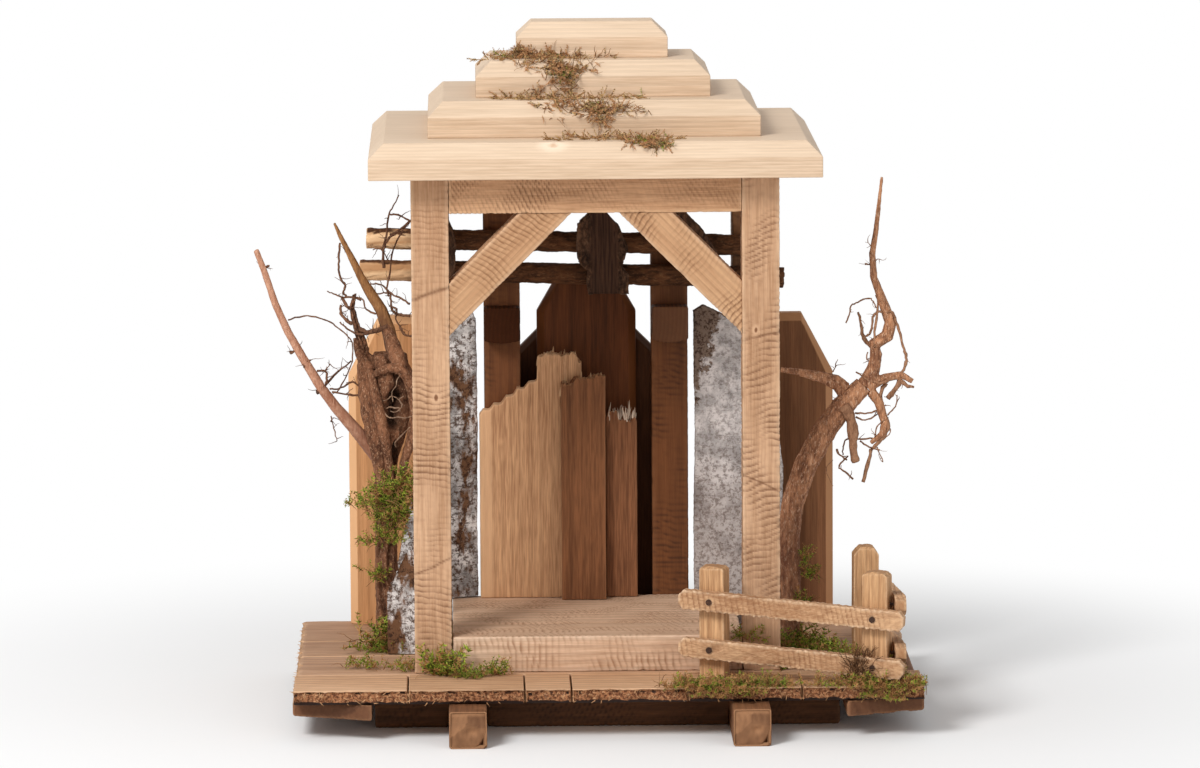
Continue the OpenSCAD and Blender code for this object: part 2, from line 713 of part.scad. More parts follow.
// The nails of one run, straight through the rails into the posts
module nail_solids(span, fall, width, head) {
    for (z = [low_rail_z, high_rail_z], x = [0, span])
        translate([x, -fence_post / 2 - rail_t, z + (span / 2 - x) * tan(fall)])
            rotate([-90, 0, 0]) {
                cylinder(d = width, h = nail_len);
                if (head > 0)
                    translate([0, 0, -head]) cylinder(d = 2 * width, h = head);
            }
}

module nail_holes(span, fall) {
    nail_solids(span, fall, nail_d + fit_gap, 0);
}

// Turns the side run's own lengths towards the back
module along_side() {
    side_run() rotate(90) translate([0, fence_post / 2, 0]) children();
}

module fence_left_post() color([0.75, 0.58, 0.42]) place() front_run()
    difference() {
        fence_post_solid(left_head_shares, side_head_shares);
        nail_holes(fence_run, rail_fall);
    }

module fence_corner_post() color([0.75, 0.58, 0.42]) place()
    difference() {
        front_run() translate([fence_run, 0, 0]) fence_post_solid(corner_head_shares, side_head_shares);
        front_run() nail_holes(fence_run, rail_fall);
        along_side() nail_holes(fence_side, rail_fall);
    }

module fence_back_post() color([0.7, 0.53, 0.38]) place() along_side()
    difference() {
        translate([fence_side, 0, 0]) fence_post_solid(side_head_shares, back_head_shares);
        nail_holes(fence_side, rail_fall);
    }

module fence_front_rails() color([0.72, 0.54, 0.4]) place() front_run()
    difference() {
        for (z = [low_rail_z, high_rail_z])
            translate([0, 0, z]) rail_solid(fence_run, rail_fall, front_over, front_over);
        nail_holes(fence_run, rail_fall);
    }

module fence_side_rails() color([0.68, 0.5, 0.36]) place() along_side()
    difference() {
        for (z = [low_rail_z, high_rail_z])
            translate([0, 0, z]) rail_solid(fence_side, rail_fall, side_near, front_over);
        nail_holes(fence_side, rail_fall);
    }

module fence_nails() color([0.2, 0.16, 0.14]) place() {
    front_run() nail_solids(fence_run, rail_fall, nail_d, nail_head);
    along_side() nail_solids(fence_side, rail_fall, nail_d, nail_head);
}

// A stem is a tapering tube swept through its points
function unit(v) = v / norm(v);

module stem(shares, reach, girth) {
    path = [for (s = shares) [s[0], s[1], s[2]] * reach];
    last = len(path) - 1;
    points = [
        for (i = [0:last])
            let (
                along = unit(path[min(i + 1, last)] - path[max(i - 1, 0)]),
                across = unit(cross([0, 1, 0], along)),
                up = cross(along, across)
            )
            for (k = [0:stem_sides - 1])
                path[i] + shares[i][3] * girth
                    * (cos(k * 360 / stem_sides) * across + sin(k * 360 / stem_sides) * up)
    ];
    sides = [
        for (i = [0:last - 1], k = [0:stem_sides - 1])
            let (a = i * stem_sides + k, b = i * stem_sides + (k + 1) % stem_sides)
            [a, a + stem_sides, b + stem_sides, b]
    ];
    foot = [for (k = [0:stem_sides - 1]) k];
    tip = [for (k = [stem_sides - 1:-1:0]) last * stem_sides + k];
    polyhedron(points, concat(sides, [foot], [tip]));
}

module root_trunk_solid() {
    translate([root_x, root_y, 0]) {
        stem(root_trunk_shares, root_h, root_r);
        stem(root_stub_shares, root_h, root_r);
    }
}

module root_branch_at(shares) {
    difference() {
        translate([root_x, root_y, 0]) stem(shares, root_h, root_r);
        root_trunk_solid();
    }
}

module root_trunk() color([0.43, 0.29, 0.2]) place() root_trunk_solid();
module root_low_branch() color([0.7, 0.5, 0.38]) place() root_branch_at(root_low_shares);
module root_upright_branch() color([0.5, 0.36, 0.22]) place() root_branch_at(root_upright_shares);

module tree_trunk_solid() {
    translate([tree_x, tree_y, 0]) stem(tree_trunk_shares, tree_h, tree_r);
}

module tree_branch_at(shares) {
    difference() {
        translate([tree_x, tree_y, 0]) stem(shares, tree_h, tree_r);
        tree_trunk_solid();
    }
}

module tree_trunk() color([0.45, 0.3, 0.2]) place() tree_trunk_solid();
module tree_side_branch() color([0.45, 0.31, 0.21]) place() tree_branch_at(tree_side_shares);
module tree_upright_branch() color([0.45, 0.31, 0.21]) place() {
    tree_branch_at(tree_upright_shares);
    tree_branch_at(tree_twig_shares);
    tree_branch_at(tree_hanging_shares);
}

// A tuft of moss is a low rounded cap
module tuft(size) {
    r = moss_r * size;
    h = moss_h * size;
    ball = (r * r + h * h) / (2 * h);
    intersection() {
        translate([0, 0, h - ball]) sphere(ball);
        translate([-r, -r, 0]) cube([2 * r, 2 * r, h]);
    }
}

module moss_tufts() color([0.42, 0.42, 0.18]) place()
    difference() {
        union() {
            for (m = roof_moss_shares) {
                flat_w = roof_ledges[m[0] - 1] - roof_bevel;
                front = (frame_d - roof_d) / 2 + roof_steps[m[0]];
                translate([m[1] * roof_w, front - flat_w / 2, frame_h + m[0] * roof_t]) tuft(m[2]);
            }
            for (m = deck_moss_shares)
                translate([deck_shift + m[0] * deck_w, m[1] * deck_d - deck_front, 0]) tuft(m[2]);
        }
        root_trunk_solid();
        tree_trunk_solid();
    }

left_skid();
right_skid();
front_cross_beam();
rear_cross_beam();
left_bearer();
right_bearer();
front_plank_1();
front_plank_2();
front_plank_3();
front_plank_4();
front_plank_5();
front_plank_6();
second_plank();
third_plank();
rear_plank();
floor_board();
front_left_post();
front_right_post();
rear_left_post();
rear_right_post();
inner_left_post();
inner_right_post();
left_post_block();
right_post_block();
front_header();
rear_header();
left_brace();
right_brace();
roof_slab_1();
roof_slab_2();
roof_slab_3();
roof_slab_4();
left_wing_board();
right_wing_board();
rear_left_board();
rear_right_board();
middle_board();
wide_broken_board();
narrow_broken_board();
low_broken_board();
left_birch_slab();
right_birch_slab();
bark_king_piece();
bark_brace();
bark_cleat();
upper_log_rail();
lower_log_rail();
fence_left_post();
fence_corner_post();
fence_back_post();
fence_front_rails();
fence_side_rails();
fence_nails();
root_trunk();
root_low_branch();
root_upright_branch();
tree_trunk();
tree_side_branch();
tree_upright_branch();
moss_tufts();
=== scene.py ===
# %% [markdown]
# # A small wooden stable for a holiday display
#
# The posts, slabs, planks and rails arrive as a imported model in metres. Here each of them gets its surface:
# saw marks, torn tops, bark, roots and moss. Nothing is moved or resized, because every new piece takes its
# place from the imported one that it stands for.

import math
import random

import bmesh
import bpy
from mathutils import Matrix, Vector, noise
from mathutils.bvhtree import BVHTree


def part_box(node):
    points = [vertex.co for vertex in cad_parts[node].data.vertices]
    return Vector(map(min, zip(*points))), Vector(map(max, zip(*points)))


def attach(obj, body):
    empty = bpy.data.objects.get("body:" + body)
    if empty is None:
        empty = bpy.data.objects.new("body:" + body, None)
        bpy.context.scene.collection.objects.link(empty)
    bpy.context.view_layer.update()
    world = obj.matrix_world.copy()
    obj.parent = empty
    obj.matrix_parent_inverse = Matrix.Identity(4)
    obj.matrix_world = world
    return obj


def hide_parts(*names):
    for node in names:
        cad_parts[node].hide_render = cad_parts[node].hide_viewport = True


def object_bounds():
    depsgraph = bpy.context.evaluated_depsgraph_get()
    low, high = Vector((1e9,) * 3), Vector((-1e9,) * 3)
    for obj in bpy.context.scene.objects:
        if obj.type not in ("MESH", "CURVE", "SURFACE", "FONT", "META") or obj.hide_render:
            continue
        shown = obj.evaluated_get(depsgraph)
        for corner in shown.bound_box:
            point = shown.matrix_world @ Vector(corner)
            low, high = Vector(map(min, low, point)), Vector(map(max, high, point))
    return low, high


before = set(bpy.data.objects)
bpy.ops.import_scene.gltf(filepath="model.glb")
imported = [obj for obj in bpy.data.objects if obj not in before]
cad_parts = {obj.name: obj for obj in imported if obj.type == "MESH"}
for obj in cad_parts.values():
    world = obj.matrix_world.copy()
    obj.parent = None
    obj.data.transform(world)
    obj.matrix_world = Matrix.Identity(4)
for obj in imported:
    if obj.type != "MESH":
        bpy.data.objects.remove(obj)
cad_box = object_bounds()
MM = 0.001
print("pieces in the model:", len(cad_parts))

# %% [markdown]
# ## Where things are
#
# All places are measured from the frame: its front face, its middle and the top of the deck. They are read
# from the corner posts, so they follow the model if it changes.

# %% Read the main places from the corner posts
left_post_low, left_post_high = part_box("front_left_post")
right_post_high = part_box("front_right_post")[1]
frame_front = left_post_low.y
deck_top = left_post_low.z
frame_mid = (left_post_low.x + right_post_high.x) / 2
frame_corner = Vector((frame_mid, frame_front, deck_top))
stock = left_post_high.x - left_post_low.x


def place(x, y, z):
    """A point given in millimetres from the front middle of the frame at deck level."""
    return frame_corner + Vector((x, y, z)) * MM


def level(z):
    """A height given in millimetres above the deck."""
    return deck_top + z * MM


print("frame corner:", [round(c, 4) for c in frame_corner], "squared timber:", round(stock, 4))

# %% [markdown]
# ## The camera
#
# A long lens from a little above, fitted to the straight edges of the frame. The same numbers turn a point
# of the picture back into a point of the scene, which places the thin twigs.

# %% Camera
picture_width = 1200
picture_height = 768
lens_pixels = 6825.4
sensor_width = 36.0
view_limit = 20
camera_turn = 0.0199
camera_tilt = 0.1368
camera_roll = 0.0059
camera_spot = place(-69.3, -3582.0, 648.1)

flat_right = Vector((math.cos(camera_turn), -math.sin(camera_turn), 0))
flat_ahead = Vector((math.sin(camera_turn), math.cos(camera_turn), 0))
look = flat_ahead * math.cos(camera_tilt) - Vector((0, 0, math.sin(camera_tilt)))
flat_down = look.cross(flat_right)
picture_right = flat_right * math.cos(camera_roll) + flat_down * math.sin(camera_roll)
picture_down = flat_down * math.cos(camera_roll) - flat_right * math.sin(camera_roll)

scene = bpy.context.scene
scene.view_settings.view_transform = "Standard"


def link(obj):
    scene.collection.objects.link(obj)
    return obj


camera_data = bpy.data.cameras.new("camera")
camera_data.sensor_width = sensor_width
camera_data.lens = lens_pixels * sensor_width / picture_width
camera_data.clip_end = view_limit
camera = link(bpy.data.objects.new("camera", camera_data))
turn = Matrix((picture_right, -picture_down, -look)).transposed()
camera.matrix_world = Matrix.Translation(camera_spot) @ turn.to_4x4()
scene.camera = camera


def seen_at(across, down, depth):
    """The point that shows at a pixel of the picture, at a depth in millimetres behind the frame's front."""
    ray = (look + picture_right * ((across - picture_width / 2) / lens_pixels)
        + picture_down * ((down - picture_height / 2) / lens_pixels))
    reach = (frame_front + depth * MM - camera_spot.y) / ray.y
    return camera_spot + ray * reach


print("lens in millimetres:", round(camera_data.lens, 1))

# %% [markdown]
# ## Painting with nodes
#
# A material is a small graph of nodes, kept readable by short helpers. Colours are written from 0 to 255, as
# a screen shows them, and turned into the linear values of the renderer.


# %% Colours and nodes
def linear(*colour):
    shares = [channel / 255 for channel in colour]
    return [s / 12.92 if s <= 0.04045 else ((s + 0.055) / 1.055) ** 2.4 for s in shares] + [1.0]


def feed(tree, socket, value):
    if isinstance(value, bpy.types.NodeSocket):
        tree.links.new(value, socket)
    elif value is not None:
        socket.default_value = value


def add_node(tree, kind, inputs=None, **settings):
    node = tree.nodes.new("ShaderNode" + kind)
    for key, value in settings.items():
        setattr(node, key, value)
    for key, value in (inputs or {}).items():
        feed(tree, node.inputs[key], value)
    return node


# %% Arithmetic and noise in a node graph
def math_of(tree, operation, first, second=None, clamp=False):
    return add_node(tree, "Math", {0: first, 1: second}, operation=operation, use_clamp=clamp).outputs[0]


def mul(tree, first, second, clamp=False):
    return math_of(tree, "MULTIPLY", first, second, clamp)


def add(tree, first, second, clamp=False):
    return math_of(tree, "ADD", first, second, clamp)


def less(tree, first, second):
    return math_of(tree, "SUBTRACT", first, second)


def vector_of(tree, operation, first, second=None):
    node = add_node(tree, "VectorMath", {0: first, 1: second}, operation=operation)
    return node.outputs["Value" if operation in ("LENGTH", "DOT_PRODUCT") else "Vector"]


def stretch(tree, vector, by):
    return vector_of(tree, "MULTIPLY", vector, by)


def ramp(tree, value, low, high, bottom=0.0, top=1.0):
    inputs = {"Value": value, "From Min": low, "From Max": high, "To Min": bottom, "To Max": top}
    return add_node(tree, "MapRange", inputs, interpolation_type="SMOOTHSTEP").outputs["Result"]


def noise_of(tree, vector, scale, detail=2.0, rough=0.5):
    inputs = {"Vector": vector, "Scale": scale, "Detail": detail, "Roughness": rough}
    return add_node(tree, "TexNoise", inputs).outputs["Fac"]


def blend(tree, share, first, second):
    """A mix of two colours, each a socket or three numbers from 0 to 255."""
    node = add_node(tree, "Mix", {0: share}, data_type="RGBA")
    for key, colour in ((6, first), (7, second)):
        feed(tree, node.inputs[key], colour if isinstance(colour, bpy.types.NodeSocket) else linear(*colour))
    return node.outputs[2]


# %% A new material and what it reads
def painted(tree, name):
    return add_node(tree, "Attribute", attribute_name=name).outputs["Fac"]


def here(tree, kind="Object"):
    return add_node(tree, "TexCoord").outputs[kind]


def axis_of(tree, vector, axis):
    return add_node(tree, "SeparateXYZ", {"Vector": vector}).outputs[axis]


def new_material(name, roughness, shine):
    paint = bpy.data.materials.new(name)
    paint.use_nodes = True
    shader = paint.node_tree.nodes["Principled BSDF"]
    shader.inputs["Specular IOR Level"].default_value = shine
    shader.inputs["Roughness"].default_value = roughness
    print("paint:", name)
    return paint, paint.node_tree, shader


def colour_of(paint):
    """The node tree of a paint, its colour socket and what feeds it."""
    socket = paint.node_tree.nodes["Principled BSDF"].inputs["Base Color"]
    return paint.node_tree, socket, socket.links[0].from_socket


# %% [markdown]
# ## Light and floor
#
# A plain studio: an even white world, and one large lamp from the upper left for form and shadow. The floor
# keeps a soft shadow near the stable and turns to plain white further out.

# %% World, lamps and floor
world_light = 0.5
key_power = 52.0
key_size = 0.9
key_spot = Vector((-1.15, -1.75, 1.75))
fill_power = 10.0
fill_size = 1.6
fill_spot = Vector((1.6, -2.2, 0.7))
lamp_target = Vector((0, 0, 0.17))
shadow_reach = 0.2
white_reach = 0.55
floor_reach = 5


def soft_lamp(name, spot, size, power):
    lamp = bpy.data.lights.new(name, "AREA")
    lamp.shape = "DISK"
    lamp.size = size
    lamp.energy = power
    holder = link(bpy.data.objects.new(name, lamp))
    holder.location = spot
    holder.rotation_euler = (lamp_target - spot).to_track_quat("-Z", "Y").to_euler()


def white_rays(tree):
    """One for every ray that should find plain white: from the camera, a gloss or a clear body."""
    path = add_node(tree, "LightPath").outputs
    seen = math_of(tree, "MAXIMUM", path["Is Camera Ray"], path["Is Glossy Ray"])
    return math_of(tree, "MAXIMUM", seen, path["Is Transmission Ray"])


def white_world():
    world = bpy.data.worlds.new("studio")
    scene.world = world
    world.use_nodes = True
    tree = world.node_tree
    strength = add_node(tree, "MapRange", {"Value": white_rays(tree), "To Min": world_light})
    sky = tree.nodes["Background"].inputs
    sky["Color"].default_value = (1, 1, 1, 1)
    feed(tree, sky["Strength"], strength.outputs["Result"])


def pale_floor():
    bm = bmesh.new()
    bmesh.ops.create_grid(bm, x_segments=1, y_segments=1, size=floor_reach)
    mesh = bpy.data.meshes.new("floor")
    bm.to_mesh(mesh)
    bm.free()
    paint, tree, shader = new_material("pale_floor", 0.9, 0.1)
    shader.inputs["Base Color"].default_value = (0.93, 0.93, 0.93, 1)
    far = ramp(tree, vector_of(tree, "LENGTH", here(tree)), shadow_reach, white_reach)
    glow = add_node(tree, "Emission").outputs[0]
    share = mul(tree, far, white_rays(tree))
    mix = add_node(tree, "MixShader", {0: share, 1: shader.outputs[0], 2: glow})
    feed(tree, tree.nodes["Material Output"].inputs["Surface"], mix.outputs[0])
    mesh.materials.append(paint)
    link(bpy.data.objects.new("floor", mesh))


white_world()
soft_lamp("key_lamp", key_spot, key_size, key_power)
soft_lamp("fill_lamp", fill_spot, fill_size, fill_power)
pale_floor()

# %% [markdown]
# ## Shared effects
#
# Each effect is a node group, built once. Growth rings are cylinders round a far-off pith, lines on a long
# face and arcs on an end. Fibre is noise stretched along the grain, which runs along the X axis of the
# vector fed in. Flecks are small spots, and a knot is a dark core with a halo.


# %% Start a node group
def new_group(name, inputs, outputs):
    """A group whose inputs have a start value: a number, three numbers, or none for a place."""
    group = bpy.data.node_groups.new(name, "ShaderNodeTree")
    for label, value in inputs.items():
        kind = "NodeSocketFloat" if isinstance(value, float) else "NodeSocketVector"
        socket = group.interface.new_socket(label, in_out="INPUT", socket_type=kind)
        if value is not None:
            socket.default_value = value
    for label in outputs:
        group.interface.new_socket(label, in_out="OUTPUT", socket_type="NodeSocketFloat")
    print("effect:", name)
    return group, group.nodes.new("NodeGroupInput").outputs, group.nodes.new("NodeGroupOutput").inputs


# %% Growth rings and fibre
def make_rings_group():
    group, given, result = new_group("growth_rings", {"Vector": None, "Spacing": 0.003, "Wander": 0.004},
        ["Rings"])
    sway = less(group, noise_of(group, stretch(group, given["Vector"], (0.1, 1, 1)), 22.0, 1.5), 0.5)
    reach = vector_of(group, "LENGTH", stretch(group, given["Vector"], (0, 1, 1)))
    bent = add(group, reach, mul(group, sway, given["Wander"]))
    phase = math_of(group, "FRACT", math_of(group, "DIVIDE", bent, given["Spacing"]))
    rise = ramp(group, phase, 0.1, 0.86)
    fall = ramp(group, phase, 0.86, 1.0, 1.0, 0.0)
    feed(group, result["Rings"], mul(group, rise, fall))
    return group


def make_fibre_group():
    group, given, result = new_group("wood_fibre", {"Vector": None, "Fineness": 900.0},
        ["Fibre", "Streak", "Tone"])
    for label, thin, scale, detail, rough in (("Fibre", 0.04, given["Fineness"], 3.0, 0.6),
            ("Streak", 0.06, 240.0, 2.0, 0.5), ("Tone", 0.4, 22.0, 2.0, 0.5)):
        long_grain = stretch(group, given["Vector"], (thin, 1, 1))
        feed(group, result[label], noise_of(group, long_grain, scale, detail, rough))
    return group


# %% Flecks and knots
def make_flecks_group():
    group, given, result = new_group("flecks", {"Vector": None, "Scale": 400.0, "Amount": 0.5}, ["Flecks"])
    spots = noise_of(group, given["Vector"], given["Scale"], 3.0, 0.62)
    edge = less(group, 0.78, mul(group, given["Amount"], 0.4))
    feed(group, result["Flecks"], ramp(group, spots, edge, add(group, edge, 0.07)))
    return group


def make_knot_group():
    group, given, result = new_group(
        "knot", {"Vector": None, "Centre": None, "Size": 0.002, "Shape": (1, 1, 1)}, ["Core", "Halo"])
    away = vector_of(group, "SUBTRACT", given["Vector"], given["Centre"])
    away = stretch(group, away, given["Shape"])
    wobble = mul(group, noise_of(group, given["Vector"], 500.0, 2.0), 0.6)
    reach = math_of(group, "DIVIDE", vector_of(group, "LENGTH", away), given["Size"])
    reach = add(group, reach, wobble)
    feed(group, result["Core"], ramp(group, reach, 0.8, 1.35, 1.0, 0.0))
    near = ramp(group, reach, 1.3, 3.4, 1.0, 0.0)
    outside = ramp(group, reach, 0.9, 1.5)
    feed(group, result["Halo"], mul(group, near, outside))
    return group


# %% Build the effects
rings_group = make_rings_group()
fibre_group = make_fibre_group()
flecks_group = make_flecks_group()
knot_group = make_knot_group()


def use_group(tree, group, **values):
    node = add_node(tree, "Group", node_tree=group)
    for key, value in values.items():
        feed(tree, node.inputs[key], value)
    return node.outputs


# Turns that bring the grain of a piece to the X axis of the pattern
grain_turns = {
    "across": (0, 0, 0),
    "up": (0, math.radians(90), 0),
    "back": (0, 0, math.radians(-90)),
    "rising": (0, math.radians(45), 0),
    "falling": (0, math.radians(-45), 0),
}
end_axes = {"across": (1, 0, 0), "up": (0, 0, 1), "back": (0, 1, 0), "rising": (0.7, 0, 0.7),
    "falling": (0.7, 0, -0.7)}


def grain_vector(tree, grain, pith):
    """Object coordinates turned so that the grain runs along X, measured from the pith."""
    turned = add_node(tree, "Mapping", {"Vector": here(tree), "Rotation": grain_turns[grain]})
    return add_node(tree, "Mapping", {"Vector": turned.outputs[0], "Location": pith}).outputs[0]


def add_bump(tree, shader, height, strength, distance):
    bump = add_node(tree, "Bump", {"Height": height, "Strength": strength, "Distance": distance})
    feed(tree, shader.inputs["Normal"], bump.outputs["Normal"])


# %% [markdown]
# ## Timber
#
# Sawn and planed wood is one recipe: two tones mixed by patches and fibre, growth rings, darker end grain,
# and two layers painted on the mesh: `groove`, where the saw cut deep and painted shade darkens it, and
# `edge`, where corners are worn pale.


# %% The timber recipe
def timber(name, light, dark, grain, pith=(0, 0.03, 0.02), spacing=0.0032, rings_share=0.25, fibre_share=0.5,
        groove=None, worn=None, cut=None, roughness=0.72, shine=0.25, bump=0.35, patchy=0.55, knots=(),
        knot_dark=(112, 70, 42), halo=None):
    paint, tree, shader = new_material(name, roughness, shine)
    vector = grain_vector(tree, grain, pith)
    fibre = use_group(tree, fibre_group, Vector=vector, Fineness=1300.0)
    rings = use_group(tree, rings_group, Vector=vector, Spacing=spacing)["Rings"]
    tone = ramp(tree, fibre["Tone"], 0.5 - patchy / 2, 0.5 + patchy / 2)
    streak = ramp(tree, fibre["Streak"], 0.3, 0.7)
    fine = ramp(tree, fibre["Fibre"], 0.32, 0.68)
    mixed = add(tree, mul(tree, tone, 0.42), mul(tree, streak, 0.26))
    mixed = add(tree, mixed, mul(tree, fine, fibre_share * 0.62), clamp=True)
    colour = blend(tree, mixed, dark, light)
    colour = blend(tree, mul(tree, rings, rings_share), colour, [c * 0.72 for c in dark])
    if cut:
        facing = vector_of(tree, "DOT_PRODUCT", here(tree, "Normal"), end_axes[grain])
        end = ramp(tree, math_of(tree, "ABSOLUTE", facing), 0.75, 0.9)
        colour = blend(tree, mul(tree, end, 0.75), colour, cut)
    # Painted shade: the groove tone darkens saw steps and furrows; the edge tone is wear.
    for layer, tone, share in (("groove", groove, 0.8), ("edge", worn, 0.75)):
        if tone:
            colour = blend(tree, mul(tree, painted(tree, layer), share, clamp=True), colour, tone)
    coords = here(tree)
    for centre, size in knots:
        shape = [0.6 if abs(share) > 0.5 else 1 for share in end_axes[grain]]
        knot = use_group(tree, knot_group, Vector=coords, Centre=centre, Size=size, Shape=shape)
        colour = blend(tree, mul(tree, knot["Halo"], 0.6), colour, halo or light)
        colour = blend(tree, mul(tree, knot["Core"], 0.85), colour, knot_dark)
    feed(tree, shader.inputs["Base Color"], colour)
    height = add(tree, fibre["Fibre"], mul(tree, rings, -0.35))
    add_bump(tree, shader, height, bump, 0.0005)
    return paint

# %% [markdown]
# ## Rough sawn blocks
#
# A saw leaves fine ridges across a post, and its corners are nibbled. Each timber starts from a cube at the
# packed size, is bevelled, cut into small faces, and its points move inwards by a saw wave. The wave is
# stored as `groove`, which paints shade into the saw steps, and the nearness of a corner as `edge`, so paint
# and shape agree.


# %% A bevelled block of small faces
corner_ease = 0.7 * MM
corner_reach = 1.1 * MM
corner_chip = 0.55 * MM
scar_depth = 0.35 * MM


def merged_copy(node):
    """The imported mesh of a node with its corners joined, ready to be reworked."""
    bm = bmesh.new()
    bm.from_mesh(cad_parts[node].data)
    bmesh.ops.remove_doubles(bm, verts=bm.verts, dist=0.005 * MM)
    return bm


def block_mesh(low, high, long_axis, long_step, cross_step, ease):
    """A bevelled box of small faces between two corners."""
    size = high - low
    bm = bmesh.new()
    bmesh.ops.create_cube(bm, size=1)
    bmesh.ops.scale(bm, vec=size, verts=bm.verts)
    bmesh.ops.translate(bm, vec=(low + high) / 2, verts=bm.verts)
    bmesh.ops.bevel(bm, geom=bm.edges[:], offset=ease, segments=2, profile=0.5, affect="EDGES", material=-1)
    for axis in range(3):
        step = long_step if axis == long_axis else cross_step
        runs = [e for e in bm.edges if abs((e.verts[0].co - e.verts[1].co)[axis]) > size[axis] - 3 * ease]
        cuts = max(int(size[axis] / step), 2) - 1
        bmesh.ops.subdivide_edges(bm, edges=runs, cuts=cuts, use_grid_fill=True)
    return bm


# %% Saw marks
def smooth_step(value, low, high):
    share = min(1.0, max(0.0, (value - low) / (high - low)))
    return share * share * (3 - 2 * share)


def noise_at(x, y, z, size):
    """Smooth noise between -1 and 1, whose bumps are about as wide as size."""
    return noise.noise(Vector((x, y, z)) / size)


def half_noise(x, y, z, size):
    """The same noise between 0 and 1."""
    return 0.5 + 0.5 * noise_at(x, y, z, size)


def saw_marks(bm, low, high, long_axis, spacing, depth, tilt, seed, cover_at=None, scars=()):
    """Pushes the faces of a block in by saw steps, paints shade into the grooves and marks the worn edges."""
    groove = bm.verts.layers.float.new("groove")
    edge = bm.verts.layers.float.new("edge")
    bm.normal_update()
    others = [a for a in range(3) if a != long_axis]
    middle = (low + high) / 2
    moves = []
    for v in bm.verts:
        along = v.co[long_axis]
        side = (v.co[others[0]] - middle[others[0]]) + (v.co[others[1]] - middle[others[1]])
        gaps = sorted(min(v.co[a] - low[a], high[a] - v.co[a]) for a in range(3))
        near = math.exp(-(max(gaps[1], 0) / corner_reach) ** 2)
        sway = noise_at(along, side * 2.5, seed, 0.03)
        ripple = noise_at(along, side, seed + 2.2, 0.007)
        bow = (side / 0.02) ** 2 * 0.25
        phase = (along + tilt * side) / spacing + 0.9 * sway + 0.28 * ripple + bow
        step = phase - math.floor(phase)
        patch = noise_at(along, side * 1.6, seed + 5.1, 0.024) + 0.45
        cover = smooth_step(patch, 0.1, 0.85)
        if cover_at:
            cover *= cover_at(v.co)
        fine = noise_at(along * 0.6, side, seed + 9.7, 0.0016)
        chip = smooth_step(noise_at(along, side * 0.3, seed + 3.3, 0.0045), 0.12, 0.6) * near
        push = depth * cover * (1 - step) ** 1.5 + 0.3 * depth * abs(fine) + corner_chip * chip
        # Painted shade: a dark line just inside each saw step.
        shade = cover * math.exp(-(step / 0.3) ** 2) + 0.3 * max(0.0, fine)
        for start, slope, width in scars:
            off = (along - start - slope * side - 0.8 * MM * ripple) / width
            scar = math.exp(-off * off)
            push += scar_depth * scar
            shade += 0.9 * scar
        v[groove] = max(0.0, min(1.0, shade))
        v[edge] = near * (0.55 + 0.45 * noise_at(along, side, seed + 1.9, 0.006))
        moves.append((v, v.normal * -push))
    for v, move in moves:
        v.co += move


# %% Turn a block into a piece
def make_piece(name, bm, paint, nodes, smooth=True):
    """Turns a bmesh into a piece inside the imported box, which rides on the model for its nodes."""
    for v in bm.verts:
        for axis in range(3):
            v.co[axis] = min(max(v.co[axis], cad_box[0][axis]), cad_box[1][axis])
    mesh = bpy.data.meshes.new(name)
    bm.to_mesh(mesh)
    bm.free()
    mesh.materials.append(paint)
    mesh.polygons.foreach_set("use_smooth", [smooth] * len(mesh.polygons))
    piece = link(bpy.data.objects.new(name, mesh))
    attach(piece, "root")
    if nodes:
        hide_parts(*nodes)
    print(name + ":", sum(len(p.vertices) - 2 for p in mesh.polygons), "triangles")


def sawn_timber(node, long_axis, paint, spacing=3.2, depth=0.34, tilt=0.1, seed=1.0, long_step=0.58,
        cross_step=1.7, cover_at=None, scars=()):
    """A timber between the corners of its node, with sizes in millimetres."""
    low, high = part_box(node)
    bm = block_mesh(low, high, long_axis, long_step * MM, cross_step * MM, corner_ease)
    saw_marks(bm, low, high, long_axis, spacing * MM, depth * MM, tilt, seed, cover_at, scars)
    make_piece(node + "_wood", bm, paint, [node])


def cut_off(bm, point, direction):
    """Saws away what lies on the far side of a plane and closes the cut."""
    cut = bmesh.ops.bisect_plane(bm, geom=bm.verts[:] + bm.edges[:] + bm.faces[:], plane_co=point,
        plane_no=direction, clear_outer=True)
    rim = [e for e in cut["geom_cut"] if isinstance(e, bmesh.types.BMEdge)]
    if rim:
        bmesh.ops.contextual_create(bm, geom=rim)


# %% Paint for the frame
frame_light = (212, 171, 136)
frame_dark = (160, 118, 84)
saw_shadow = (96, 56, 30)
worn_corner = (228, 194, 160)
frame_cut = (150, 106, 72)
left_knot_seen = (436, 398)
right_knot_seen = (756, 330)
post_knots = [(seen_at(*left_knot_seen, 0), 1.2 * MM), (seen_at(*right_knot_seen, 0), 0.9 * MM)]
post_paint = timber("sawn_post", frame_light, frame_dark, "up", (0, 0.02, 0.012), groove=saw_shadow,
    worn=worn_corner, cut=frame_cut, rings_share=0.1, fibre_share=0.6, patchy=0.5, knots=post_knots)
header_paint = timber("sawn_header", (214, 168, 128), (152, 106, 70), "across", (0, 0.015, 0.03),
    groove=(92, 54, 30), worn=(222, 184, 146), cut=frame_cut, fibre_share=0.7, rings_share=0.15)
